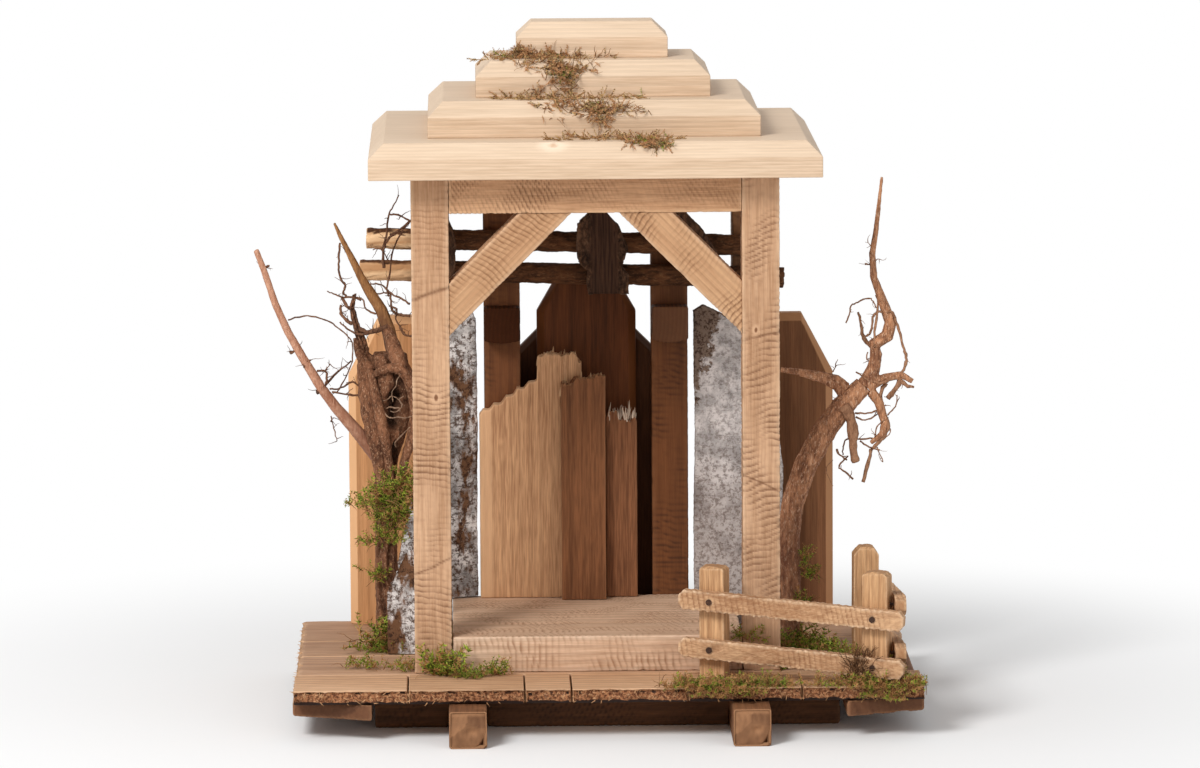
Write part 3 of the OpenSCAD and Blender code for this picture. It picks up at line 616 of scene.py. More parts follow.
# The inner posts stand in the dim back: their dark warm brown is partly the wood and partly painted shade.
inner_paint = timber("inner_post_shaded", (134, 82, 45), (90, 50, 24), "up", (0, 0.02, 0.03), groove=(60, 34, 18),
    worn=(140, 94, 62), cut=(80, 48, 28))
rear_post_paint = timber("rear_post", (150, 105, 70), (105, 68, 42), "up", (0, 0.02, 0.03),
    groove=(70, 42, 24), worn=(160, 115, 80), cut=(92, 58, 34))
rear_header_paint = timber("rear_header", (130, 88, 58), (92, 58, 36), "across", (0, 0.02, 0.03),
    groove=(60, 36, 20), worn=(140, 98, 66), cut=(80, 50, 30))

# %% Posts and headers
def stronger_below(point):
    """The saw bit harder in the lower part of the left post."""
    return 0.45 + 0.55 * smooth_step(level(190) - point.z, 0, 50 * MM)


def middle_arcs(point):
    """On the header the marks are strong only right of its middle and near its left end."""
    centre = place(-28, 0, 0).x
    left_end = place(-70, 0, 0).x
    strong = math.exp(-((point.x - centre) / (22 * MM)) ** 2)
    return 0.5 + 0.5 * max(strong, math.exp(-((point.x - left_end) / (12 * MM)) ** 2))


left_scars = ((level(207), 0.32, 0.9 * MM), (level(62), 0.45, 0.5 * MM))
right_scars = ((level(96), -0.5, 0.5 * MM), (level(182), 0.25, 0.5 * MM))
sawn_timber("front_left_post", 2, post_paint, seed=1.7, tilt=0.08, depth=0.42,
    cover_at=stronger_below, scars=left_scars)
sawn_timber("front_right_post", 2, post_paint, seed=6.4, tilt=-0.16, spacing=3.6, depth=0.5,
    scars=right_scars)
sawn_timber("front_header", 0, header_paint, seed=11.2, tilt=0.7, spacing=2.6, depth=0.44,
    cover_at=middle_arcs)
for rear_post in ("rear_left_post", "rear_right_post"):
    sawn_timber(rear_post, 2, rear_post_paint, seed=len(rear_post) * 1.3, long_step=1.2,
        cross_step=2.5)
for inner_post in ("inner_left_post", "inner_right_post"):
    sawn_timber(inner_post, 2, inner_paint, seed=len(inner_post) * 2.1, depth=0.12,
        long_step=1.2, cross_step=2.5)
sawn_timber("rear_header", 0, rear_header_paint, seed=3.9, tilt=0.5, long_step=1.2,
    cross_step=2.5)

# %% [markdown]
# ## Braces
#
# A brace is the same block made level, turned by 45 degrees and cut off last along the post and the header,
# which keeps both mitres flat and tight.


# %% Braces
def brace(node, side, grain, groove, seed):
    paint = timber("sawn_" + node, (208, 166, 126), (172, 128, 92), grain, (0, 0.02, 0.01), groove=groove,
        worn=worn_corner, cut=frame_cut)
    low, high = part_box(node)
    leg = high.x - low.x
    spare = 6 * MM
    half_length = leg / math.sqrt(2) + spare
    depth = high.y - low.y
    level_low = Vector((-half_length, -depth / 2, -stock / 2))
    level_high = -level_low
    bm = block_mesh(level_low, level_high, 0, long_step=0.5 * MM, cross_step=1.6 * MM, ease=corner_ease)
    saw_marks(bm, level_low, level_high, 0, spacing=2.8 * MM, depth=0.3 * MM, tilt=0.15, seed=seed)
    bmesh.ops.rotate(bm, verts=bm.verts, matrix=Matrix.Rotation(side * math.radians(45), 3, "Y"))
    corner = Vector((low.x if side < 0 else high.x, (low.y + high.y) / 2, high.z))
    inward = Vector((-side, 0, -1))
    run_middle = corner + Vector((-side * leg / 2, 0, -leg / 2))
    centre = run_middle - inward.normalized() * stock / 2
    bmesh.ops.translate(bm, vec=centre, verts=bm.verts)
    cut_off(bm, corner, Vector((side, 0, 0)))
    cut_off(bm, corner, Vector((0, 0, 1)))
    make_piece(node + "_wood", bm, paint, [node])


brace("left_brace", -1, "rising", (116, 76, 46), 21.5)
brace("right_brace", 1, "falling", (106, 68, 40), 27.1)

# %% [markdown]
# ## Planed slabs and boards
#
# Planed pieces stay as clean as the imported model. A copy is merged, its flat faces are joined, and every
# edge is bevelled, because a real edge catches a thin line of light.


# %% Ease the edges of a planed piece
planed_ease = 0.45 * MM


def planed_piece(node, paint):
    bm = merged_copy(node)
    bmesh.ops.dissolve_limit(bm, angle_limit=math.radians(0.5), verts=bm.verts, edges=bm.edges)
    bmesh.ops.bevel(bm, geom=bm.edges[:], offset=planed_ease, segments=2, profile=0.5, affect="EDGES",
        material=-1, clamp_overlap=True)
    make_piece(node + "_wood", bm, paint, [node], smooth=False)


# %% Roof
roof_light = (222, 195, 167)
roof_dark = (190, 160, 130)
roof_cut = (192, 162, 132)
low_knot_seen = (553, 147)
middle_knot_seen = (680, 104)
slab_knots = {1: [(seen_at(*low_knot_seen, -12), 2.2 * MM)], 2: [(seen_at(*middle_knot_seen, 12), 1.0 * MM)]}


def paint_light_from_above(paint, tone, share):
    """Faces that look up are painted a little paler, as painted light from above."""
    tree, socket, colour = colour_of(paint)
    light_from_above = ramp(tree, axis_of(tree, here(tree, "Normal"), "Z"), 0.2, 0.6, 0.0, share)
    feed(tree, socket, blend(tree, light_from_above, colour, tone))


for number in range(1, 5):
    slab_paint = timber("planed_softwood_%d" % number, roof_light, roof_dark, "across",
        (0.05 * number, 0.05 + 0.013 * number, -0.31 - 0.02 * number), 0.0017, 0.2, 0.7, cut=roof_cut,
        roughness=0.62, shine=0.3, bump=0.15, patchy=0.5, knots=slab_knots.get(number, ()),
        knot_dark=(192, 144, 104), halo=(244, 222, 198))
    # Painted light: the up-facing faces and chamfers of the slabs are a little paler.
    paint_light_from_above(slab_paint, (236, 214, 188), 0.3)
    planed_piece("roof_slab_%d" % number, slab_paint)

# %% [markdown]
# ## Wall boards
#
# The boards are dark on their flat front, and the bevel round it, which is found from the direction of each
# face, is painted paler as a painted highlight. The right wing board is painted darker as painted shade, and
# the left one paler as painted light.


# %% Wall boards
def board_material(name, light, dark, bevel_highlight, pith):
    paint = timber(name, light, dark, "up", pith, 0.004, 0.25, 0.7, roughness=0.6, shine=0.12, bump=0.25)
    tree, socket, colour = colour_of(paint)
    facing = math_of(tree, "ABSOLUTE", axis_of(tree, here(tree, "Normal"), "Y"))
    # Painted highlight: the bevels, found from the direction of each face, are painted paler.
    bevel = ramp(tree, facing, 0.93, 0.99, 0.85, 0.0)
    feed(tree, socket, blend(tree, bevel, colour, bevel_highlight))
    return paint


# Painted light and shade: the right wing board is a shaded copy, darker than the lit left one.
right_wing_shaded_paint = board_material("wing_board", (138, 93, 62), (99, 63, 40), (180, 131, 92), (0, 0.06, 0.02))
left_wing_lit_paint = board_material("left_wing_board", (220, 164, 114), (184, 130, 86), (222, 173, 128),
    (0, 0.06, 0.03))
# The rear and middle boards are dark warm brown, partly the wood and partly painted shade of the dim inside.
back_paint = board_material("rear_board", (94, 54, 28), (58, 31, 14), (84, 50, 26), (0, 0.03, 0.02))
middle_paint = board_material("middle_board", (118, 66, 34), (66, 34, 15), (116, 68, 36), (0, 0.01, 0.03))
for node, paint in (("left_wing_board", left_wing_lit_paint), ("right_wing_board", right_wing_shaded_paint),
        ("rear_left_board", back_paint), ("rear_right_board", back_paint), ("middle_board", middle_paint)):
    planed_piece(node, paint)

# %% [markdown]
# ## Rebuilding a solid in small faces
#
# Planks, broken boards, bark and roots need free outlines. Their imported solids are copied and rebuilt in
# small even faces by a voxel remesh, applied at once. Each point is pushed in by a relief of its own;
# `groove` stores its shade and `edge` the points that stand out.


# %% Helpers for carved pieces
def fine_copy(node, voxel, smoothing=0):
    """A copy of a node in faces as wide as voxel, in millimetres."""
    carrier_mesh = bpy.data.meshes.new(node + "_carrier")
    bm = merged_copy(node)
    bm.to_mesh(carrier_mesh)
    bm.free()
    carrier = link(bpy.data.objects.new(node + "_carrier", carrier_mesh))
    remesh = carrier.modifiers.new("remesh", "REMESH")
    remesh.mode = "VOXEL"
    remesh.voxel_size = voxel * MM
    bpy.context.view_layer.update()
    fine = bmesh.new()
    fine.from_object(carrier, bpy.context.evaluated_depsgraph_get())
    bpy.data.objects.remove(carrier)
    bpy.data.meshes.remove(carrier_mesh)
    for turn_number in range(smoothing):
        bmesh.ops.smooth_vert(fine, verts=fine.verts, factor=0.5, use_axis_x=True, use_axis_y=True,
            use_axis_z=True)
    return fine


def bend_at(v):
    """How far a point stands out from its neighbours, from 0 to 1."""
    total = 0.0
    for e in v.link_edges:
        total += (e.other_vert(v).co - v.co).normalized().dot(v.normal)
    return max(0.0, min(1.0, -2.4 * total / max(len(v.link_edges), 1) - 0.15))


def carve(bm, relief):
    """Pushes every point in by relief(point, normal), which returns the push and a shade."""
    groove = bm.verts.layers.float.new("groove")
    edge = bm.verts.layers.float.new("edge")
    bm.normal_update()
    moves = []
    for v in bm.verts:
        push, shade = relief(v.co, v.normal)
        push = max(push, 0.0)
        v[groove] = max(0.0, min(1.0, shade))
        v[edge] = bend_at(v)
        moves.append((v, v.normal * -push))
    for v, move in moves:
        v.co += move


def widen_wear(bm, rounds):
    """Lets the pale wear of the edges spread over their neighbours, broken up by chance."""
    edge = bm.verts.layers.float["edge"]
    for turn_number in range(rounds):
        spread = [max([v[edge]] + [0.8 * e.other_vert(v)[edge] for e in v.link_edges]) for v in bm.verts]
        for v, wear in zip(bm.verts, spread):
            v[edge] = wear
    for v in bm.verts:
        v[edge] *= 0.35 + 0.75 * smooth_step(noise_at(v.co.x, v.co.y + v.co.z, 3.1, 0.0016), -0.3, 0.3)


def carved_piece(node, voxel, paint, relief, smoothing=0, wear_rounds=0):
    bm = fine_copy(node, voxel, smoothing)
    carve(bm, relief)
    if wear_rounds:
        widen_wear(bm, wear_rounds)
    make_piece(node + "_wood", bm, paint, [node])


# %% [markdown]
# ## Growing thin shapes
#
# Twigs, rootlets and splinters are tubes: the face of a small disc is extruded from point to point, and a
# matrix carries each new ring to its place, turn and width.


# %% Helpers for tubes
def ring_matrix(spot, ahead, side, radius):
    ahead = ahead.normalized()
    side = (side - ahead * side.dot(ahead)).normalized()
    turned = Matrix((side, ahead.cross(side), ahead)).transposed().to_4x4()
    return Matrix.Translation(spot) @ turned @ Matrix.Diagonal((radius, radius, radius, 1)), side


def grow_tube(bm, points, radii, sides):
    first = bmesh.ops.create_circle(bm, cap_ends=True, segments=sides, radius=1)["verts"]
    face = first[0].link_faces[0]
    ahead = points[1] - points[0]
    side = Vector((0.31, 0.87, 0.38)).cross(ahead)
    matrix, side = ring_matrix(points[0], ahead, side, radii[0])
    bmesh.ops.transform(bm, matrix=matrix, verts=first)
    for index in range(1, len(points)):
        after = points[min(index + 1, len(points) - 1)]
        following, side = ring_matrix(points[index], after - points[index - 1], side, radii[index])
        grown = bmesh.ops.extrude_face_region(bm, geom=[face])["geom"]
        ring = [g for g in grown if isinstance(g, bmesh.types.BMVert)]
        face = [g for g in grown if isinstance(g, bmesh.types.BMFace)][0]
        bmesh.ops.transform(bm, matrix=following @ matrix.inverted(), verts=ring)
        matrix = following


# %% Helpers for curves and stray stalks
def spline_through(points, steps):
    """A smooth curve through the points."""
    rounded = []
    for index in range(len(points) - 1):
        before = points[max(index - 1, 0)]
        start, end = points[index], points[index + 1]
        after = points[min(index + 2, len(points) - 1)]
        for step in range(steps):
            t = step / steps
            square = 2 * before - 5 * start + 4 * end - after
            cube = 3 * start - before - 3 * end + after
            rounded.append(0.5 * (2 * start + (end - before) * t + square * t * t + cube * t * t * t))
    rounded.append(points[-1].copy())
    return rounded


def knotty(count, thick, thin, seed, swell=0.12):
    """Radii from thick to thin with small swellings."""
    radii = []
    for index in range(count):
        share = index / max(count - 1, 1)
        lump = 1 + swell * noise.noise(Vector((index * 0.7, seed, 0.3)))
        radii.append((thick + (thin - thick) * share) * lump)
    return radii


def any_way(chance, x=(-1, 1), y=(-1, 1), z=(-1, 1)):
    return Vector([chance.uniform(*span) for span in (x, y, z)])


def wander(start, heading, length, chance, bend, steps, pull=Vector((0, 0, 0))):
    """A path that strays as it grows."""
    points = [start.copy()]
    heading = heading.normalized()
    for step in range(steps):
        heading = (heading + any_way(chance) * bend + pull).normalized()
        points.append(points[-1] + heading * (length / steps))
    return points


def kept_inside(spot):
    """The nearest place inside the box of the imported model."""
    margin = 1 * MM
    return Vector([min(max(spot[a], cad_box[0][a] + margin), cad_box[1][a] - margin) for a in range(3)])


def grow_hair(bm, chance, foot, heading, length, widths, seed, bend=0.45, pull=Vector((0, 0, 0)), tip=0.4):
    """A thin stray stalk; widths is its range of thickness in millimetres, or one number."""
    trail = [kept_inside(spot) for spot in wander(foot, heading, length, chance, bend, 6, pull)]
    thick = (widths if isinstance(widths, float) else chance.uniform(*widths)) * MM
    grow_tube(bm, trail, knotty(len(trail), thick, thick * tip, seed), 4)


# %% [markdown]
# ## Skids, beams and floor
#
# The timber under the deck is darker and coarser, and the cross beams are painted near black as painted
# shade under the deck. The cross beams are halved over the skids, so they are carved copies rather than
# blocks.


# %% Coarse saw marks
def coarse_saw(axis, spacing, depth, tilt, seed, chip_depth=0.5):
    """A relief of slanting saw marks and torn patches, with sizes in millimetres."""
    cross = [a for a in range(3) if a != axis]

    def relief(point, normal):
        along = point[axis]
        side = point[cross[0]] + point[cross[1]]
        sway = noise_at(along, side, seed, 0.03)
        phase = (along + tilt * side) / (spacing * MM) + 0.8 * sway
        step = phase - math.floor(phase)
        cover = smooth_step(noise_at(along, side, seed + 4, 0.03), -0.5, 0.4)
        torn = smooth_step(noise_at(along * 0.5, side, seed + 8, 0.008), 0.25, 0.55)
        fine = noise_at(along * 0.4, side, seed + 2, 0.0015)
        push = depth * cover * (1 - step) ** 1.5 + chip_depth * torn + 0.3 * depth * abs(fine)
        return push * MM, cover * math.exp(-(step / 0.3) ** 2) + 0.35 * torn + 0.3 * fine

    return relief


# %% The chopped front end of a skid
def chipped_front(saw, low, high, seed):
    """The front end of a skid is chopped: flat facets that meet in ridges, and one deep chip."""
    chips = [(0.35, 0.3, 0.5, 0.3), (0.7, 0.62, -0.6, 0.5), (0.3, 0.78, 0.35, -0.6),
        (0.85, 0.15, -0.4, -0.5)]

    def relief(point, normal):
        push, shade = saw(point, normal)
        facing = max(0.0, -normal.y) * (1 - smooth_step(point.y - low.y, 3 * MM, 8 * MM))
        if facing <= 0:
            return push, shade
        across = (point.x - low.x) / (high.x - low.x)
        rise = (point.z - low.z) / (high.z - low.z)
        depths = [slope_x * (across - x) + slope_z * (rise - z) for x, z, slope_x, slope_z in chips]
        facet = 0.4 + 0.9 * max(depths)
        # Painted light and shade: each chopped facet gets a tone of its own.
        tone = (0.7, 0.2, 0.5, 0.85)[depths.index(max(depths))]
        rough = noise_at(point.x, point.z * 0.5, seed + 2, 0.0018)
        hole = math.exp(-(((across - 0.62) / 0.13) ** 2 + ((rise - 0.42) / 0.1) ** 2))
        notch = smooth_step(across - 0.6 * rise, 0.72, 0.8)
        push = facing * (2.0 * facet + 0.3 * rough + 1.4 * hole + 2.0 * notch) * MM
        # Painted light on the top band of the end, and painted shade in the notch.
        lit = smooth_step(rise, 0.84, 0.92)
        return push, facing * (tone + 0.35 * rough - 0.7 * hole + 0.5 * notch - 0.9 * lit)

    return relief


# %% Skids, cross beams and the raised floor
skid_paint = timber("skid_wood", (146, 99, 65), (88, 54, 32), "back", (0, 0.012, 0.015), 0.0026, 0.25,
    groove=(76, 43, 23), worn=(182, 138, 100), cut=(160, 116, 81))
# Painted shade: the cross beams lie in the shade under the deck, so their wood and grooves are painted dark.
shaded_beam_paint = timber("beam_wood_shaded", (118, 76, 46), (62, 36, 19), "across", (0, 0.02, 0.03), groove=(36, 18, 8),
    worn=(128, 88, 58), cut=(76, 46, 26))
floor_paint = timber("floor_wood", (229, 196, 167), (190, 150, 118), "across", (0, 0.03, 0.035), 0.004, 0.3,
    0.7, groove=(138, 96, 64), worn=(232, 206, 180), cut=(160, 120, 88))
for skid in ("left_skid", "right_skid"):
    low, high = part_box(skid)
    saw = coarse_saw(1, spacing=3.6, depth=0.35, tilt=0.6, seed=3.1 + low.x * 40, chip_depth=0.9)
    carved_piece(skid, 0.85, skid_paint, chipped_front(saw, low, high, low.x * 90))
for beam in ("front_cross_beam", "rear_cross_beam"):
    low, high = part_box(beam)
    saw = coarse_saw(0, spacing=3.4, depth=0.4, tilt=0.5, seed=7.7 + low.y * 40)
    carved_piece(beam, 1.4, shaded_beam_paint, saw)
sawn_timber("floor_board", 0, floor_paint, spacing=3.3, depth=0.24, tilt=0.4, seed=31.0,
    long_step=0.85, cross_step=2.3)

# %% [markdown]
# ## End-grain blocks
#
# The two short blocks on the inner posts show their end grain in front, so the grain runs backwards through
# them.

# %% End-grain blocks
left_block_paint = timber("end_grain_left", (92, 50, 25), (42, 21, 9), "back", (0.004, 0.048, -0.19), 0.0022,
    0.7, cut=(60, 30, 14), shine=0.06)
right_block_paint = timber("end_grain_right", (128, 84, 54), (82, 48, 26), "back", (0.004, -0.044, -0.21),
    0.0022, 0.7, cut=(104, 66, 40))
for block_node, block_paint in (("left_post_block", left_block_paint),
        ("right_post_block", right_block_paint)):
    saw = coarse_saw(1, spacing=1.4, depth=0.12, tilt=0.3, seed=8.8, chip_depth=0.3)
    carved_piece(block_node, 0.6, block_paint, saw)

# %% [markdown]
# ## The deck
#
# The front planks still have bark on their edge, eaten away in scallops, and their left ends are split along
# the fibres. Here `groove` carries the bark and painted shade, and the top stays plain wood.


# %% Paint for planks
bark_light = (166, 112, 74)
bark_dark = (84, 44, 22)


def plank_material(name, light, dark, seed):
    paint = timber(name, light, dark, "across", (0, 0.02 + 0.004 * seed, 0.03), 0.0038, 0.35, 0.6,
        cut=(186, 146, 110), bump=0.4)
    tree, socket, wood = colour_of(paint)
    coords = here(tree)
    crumbs = noise_of(tree, coords, 700.0, 4.0, 0.75)
    bark = blend(tree, ramp(tree, crumbs, 0.4, 0.62), bark_dark, bark_light)
    chips = use_group(tree, flecks_group, Vector=coords, Scale=620.0, Amount=0.55)["Flecks"]
    bark = blend(tree, mul(tree, chips, 0.65), bark, (196, 150, 108))
    groove = painted(tree, "groove")
    # Painted shade: the highest groove values turn near black, in the crevice below the rim and under the
    # front edge.
    bark = blend(tree, ramp(tree, groove, 0.72, 0.95), bark, (38, 18, 8))
    cover = ramp(tree, add(tree, groove, mul(tree, crumbs, 0.3)), 0.42, 0.62)
    colour = blend(tree, cover, wood, bark)
    height = axis_of(tree, coords, "Z")
    top_line = ramp(tree, height, deck_top - 1.3 * MM, deck_top - 0.5 * MM, 0.0, 0.85)
    worn = mul(tree, painted(tree, "edge"), top_line)
    feed(tree, socket, blend(tree, worn, colour, (228, 190, 152)))
    return paint


# %% Scalloped edges and split ends
def nibble_front(bm, low, seed):
    """Breaks the front edge of a plank back in scallops and eats its lower edge away."""
    for v in bm.verts:
        back = v.co.y - low.y
        share = 1 - smooth_step(back, 0, 6 * MM)
        if share <= 0:
            continue
        broad = half_noise(v.co.x, 0.4, seed, 0.011)
        bite = half_noise(v.co.x, 0.1, seed + 1, 0.0036)
        crumb = half_noise(v.co.x, v.co.z, seed + 2, 0.0013)
        v.co.y += share * (1.1 * broad + 1.2 * bite + 0.9 * crumb) * MM
        lower = 1 - smooth_step(v.co.z - low.z, 0, 4 * MM)
        ragged = half_noise(v.co.x, 0.7, seed + 5, 0.0052)
        small = half_noise(v.co.x, v.co.y, seed + 6, 0.0014)
        v.co.z += share * lower * (1.1 * ragged + 0.8 * small) * MM


def plank_relief(low, high, seed, bark_edge, split_left, split_right):
    """Plank tops are nearly flat; the front edge is scalloped bark and free ends are split."""
    bark_reach = 3.6 * MM
    split_reach = 5 * MM

    def relief(point, normal):
        fine = noise_at(point.x * 0.25, point.y, seed, 0.0018)
        push = 0.16 * MM * (fine + 0.5)
        shade = 0.0
        if bark_edge:
            near = 1 - smooth_step(point.y - low.y, bark_reach, bark_reach * 1.5)
            near *= smooth_step(high.z - point.z, 0.4 * MM, 1.1 * MM)
            facing = 0.45 + 0.55 * max(0.0, -normal.y)
            scallop = half_noise(point.x, point.z * 0.7, seed + 2, 0.006)
            crumb = half_noise(point.x * 0.6, point.z, seed + 6, 0.0013)
            push += near * facing * (1.7 * scallop + 1.0 * crumb) * MM
            # The crevice below the rim is cut in and painted dark as painted shade.
            fall = 1.9 * MM + 1.4 * MM * noise_at(point.x, 0, seed + 11, 0.009)
            crevice = near * math.exp(-((high.z - point.z - fall) / (0.6 * MM)) ** 2)
            crevice *= smooth_step(noise_at(point.x, 0.3, seed + 17, 0.005), -0.2, 0.4)
            push += 1.3 * MM * crevice * facing
            strand = noise_at(point.x * 0.35, point.z * 1.5, seed + 13, 0.0011)
            shade = near * (0.62 + 0.4 * strand) + 0.45 * crevice
            # Painted shadow: the underside near the front is painted darkest.
            if normal.z < -0.35 and point.y < low.y + 14 * MM:
                shade = 1.0
        if split_left:
            near = 1 - smooth_step(point.x - low.x, 0, split_reach)
            tear = abs(noise_at(point.y, point.z * 3, seed + 3, 0.0024))
            push += near * max(0.0, -normal.x) * 5.5 * MM * tear
        if split_right:
            near = 1 - smooth_step(high.x - point.x, 0, split_reach)
            tear = abs(noise_at(point.y, point.z * 3, seed + 4, 0.0028))
            push += near * max(0.0, normal.x) * 2.6 * MM * tear
        return push, shade

    return relief


# %% Planks and bearers
plank_light = (226, 184, 146)
plank_dark = (172, 128, 92)
for number in range(1, 7):
    node = "front_plank_%d" % number
    low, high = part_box(node)
    warmth = 6 * math.sin(number * 2.3)
    paint = plank_material(node + "_paint", [c + warmth for c in plank_light],
        [c + warmth for c in plank_dark], number)
    bm = fine_copy(node, 0.7)
    nibble_front(bm, low, number * 2.9)
    carve(bm, plank_relief(low, high, number * 3.7, bark_edge=True, split_left=number == 1,
        split_right=number == 6))
    make_piece(node + "_wood", bm, paint, [node])
for number, node in enumerate(("second_plank", "third_plank", "rear_plank")):
    low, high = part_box(node)
    paint = plank_material(node + "_paint", (204, 164, 132), (152, 112, 82), number + 7)
    carved_piece(node, 1.5, paint,
        plank_relief(low, high, 40 + number * 3.7, bark_edge=False, split_left=True, split_right=True))

bearer_paint = timber("bearer_wood", (142, 98, 66), (98, 60, 36), "back", (0, 0.02, 0.02),
    groove=(70, 40, 22), worn=(168, 124, 90), cut=(96, 60, 38))
for bearer in ("left_bearer", "right_bearer"):
    saw = coarse_saw(1, spacing=5, depth=0.15, tilt=0.2, seed=5.5)
    carved_piece(bearer, 1.25, bearer_paint, saw)

# %% [markdown]
# ## Broken boards
#
# Wood breaks along its fibres, so near a torn top each narrow column of points is pulled down by its own
# amount, and thin pale slivers stand in the tear.


# %% Helpers for torn tops and slivers
def tear_top(bm, high, reach, depth, seed):
    """Pulls the points near the top down, each narrow column by its own amount."""
    for v in bm.verts:
        near = smooth_step(v.co.z, high.z - reach, high.z - reach * 0.25)
        if near <= 0:
            continue
        coarse = half_noise(v.co.x, v.co.y * 0.6, seed, 0.0042)
        fibre = half_noise(v.co.x, v.co.y * 1.4, seed + 5, 0.0013)
        v.co.z -= near * depth * (0.45 * coarse + 0.55 * fibre)
        v.co.y += near * 0.5 * MM * noise_at(v.co.x, v.co.z * 0.3, seed + 8, 0.0016)


def grain_relief(seed, depth):
    """Shallow furrows along an upright grain."""
    def relief(point, normal):
        stretched = point.copy()
        stretched.z *= 0.12
        fine = noise_at(stretched.x, stretched.y + stretched.z, seed, 0.0011)
        broad = noise_at(stretched.x, stretched.y + stretched.z, seed + 3, 0.008)
        return depth * (0.6 + 0.5 * fine + 0.25 * broad), 0.5 * fine + 0.15 * broad

    return relief


def slivers(name, spots, paint, seed, widths=(0.35, 0.8)):
    """Thin splinters that stand in a tear; each spot is a foot, a heading and a length."""
    chance = random.Random(seed)
    bm = bmesh.new()
    for foot, heading, length in spots:
        side = Vector((chance.uniform(-1, 1), chance.uniform(-1, 1), 0)) * 0.12
        tip = foot + (heading + side) * length
        middle = (foot + tip) / 2 + side * 0.4 * MM
        width = chance.uniform(*widths) * MM
        grow_tube(bm, [foot, middle, tip], [width, width * 0.8, width * 0.12], 4)
    print(name + ":", len(spots), "slivers")
    make_piece(name, bm, paint, [], smooth=False)


def tone_along(paint, axis, start, end, tone, share):
    """Blends a tone into a paint along one axis, from nothing at start to its full share at end."""
    tree, socket, colour = colour_of(paint)
    coords = here(tree)
    ragged = mul(tree, less(tree, noise_of(tree, coords, 120.0, 3.0), 0.5), abs(end - start))
    where = add(tree, axis_of(tree, coords, axis), ragged)
    shares = (0.0, share) if end > start else (share, 0.0)
    along = ramp(tree, where, min(start, end), max(start, end), *shares)
    feed(tree, socket, blend(tree, along, colour, tone))


# %% Paint for the broken boards
nail_hole_seen = (501, 442)
nail_hole = [(seen_at(*nail_hole_seen, 125), 0.7 * MM)]
wide_paint = timber("wide_board_wood", (212, 164, 121), (150, 104, 70), "up", (0, 0.02, 0.03), 0.003, 0.12,
    1.0, groove=(112, 72, 44), worn=(222, 182, 142), cut=(214, 176, 138), bump=0.5, knots=nail_hole,
    knot_dark=(40, 22, 12))
wide_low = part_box("wide_broken_board")[0]
tone_along(wide_paint, "X", wide_low.x + 8 * MM, wide_low.x + 6 * MM, (218, 172, 130), 0.65)
narrow_paint = timber("narrow_board_wood", (146, 95, 60), (90, 53, 29), "up", (0, 0.02, 0.03), 0.003, 0.12,
    1.0, groove=(72, 42, 24), worn=(186, 140, 102), cut=(190, 150, 112), bump=0.5)
low_paint = timber("low_board_wood", (156, 103, 68), (92, 54, 31), "up", (0, 0.02, 0.03), 0.003, 0.35, 0.9,
    groove=(66, 38, 22), worn=(180, 134, 98), cut=(216, 186, 156), bump=0.5)
sliver_paint = timber("sliver_wood", (226, 190, 152), (180, 138, 100), "up")

# %% Torn boards
torn_boards = (("wide_broken_board", wide_paint, 7.0), ("narrow_broken_board", narrow_paint, 6.0),
    ("low_broken_board", low_paint, 8.0))
column_width = 1.4 * MM
sliver_share = 0.6
chance = random.Random(5)
tear_spots = []
for number, (node, paint, tear_depth) in enumerate(torn_boards):
    low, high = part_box(node)
    bm = fine_copy(node, 0.75)
    carve(bm, grain_relief(number * 4.4, 0.35 * MM))
    tops = {}
    for v in bm.verts:
        column = round((v.co.x - low.x) / column_width)
        tops[column] = max(tops.get(column, low.z), v.co.z)
    tear_top(bm, high, 14 * MM, tear_depth * MM, number * 7.0)
    for column, top in tops.items():
        if chance.random() < sliver_share:
            foot = Vector((low.x + column * column_width, chance.uniform(low.y + 1 * MM, high.y - 1 * MM),
                min(top, high.z) - chance.uniform(5, 9) * MM))
            tear_spots.append((foot, Vector((0, 0, 1)), chance.uniform(3, 7) * MM))
    make_piece(node + "_wood", bm, paint, [node])
slivers("tear_slivers", tear_spots, sliver_paint, seed=8)

# %% White slivers on the low board
low_low, low_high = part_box("low_broken_board")
white_paint = timber("white_sliver_wood", (240, 222, 204), (206, 176, 146), "up")
white_spots = []
white_count = 34
for number in range(white_count):
    foot = Vector((chance.uniform(low_low.x + 1 * MM, low_high.x - 1 * MM),
        chance.uniform(low_low.y, low_high.y - 1 * MM), low_high.z - chance.uniform(8, 11) * MM))
    heading = Vector((chance.uniform(-0.25, 0.25), chance.uniform(-0.4, 0.1), 1)).normalized()
    white_spots.append((foot, heading, chance.uniform(4, 9) * MM))
slivers("white_slivers", white_spots, white_paint, seed=9, widths=(0.25, 0.6))

# %% [markdown]
# ## Birch bark
#
# Birch bark is chalk white with short dark level lines, and brown where the white has flaked off. The relief
# follows the same pattern.


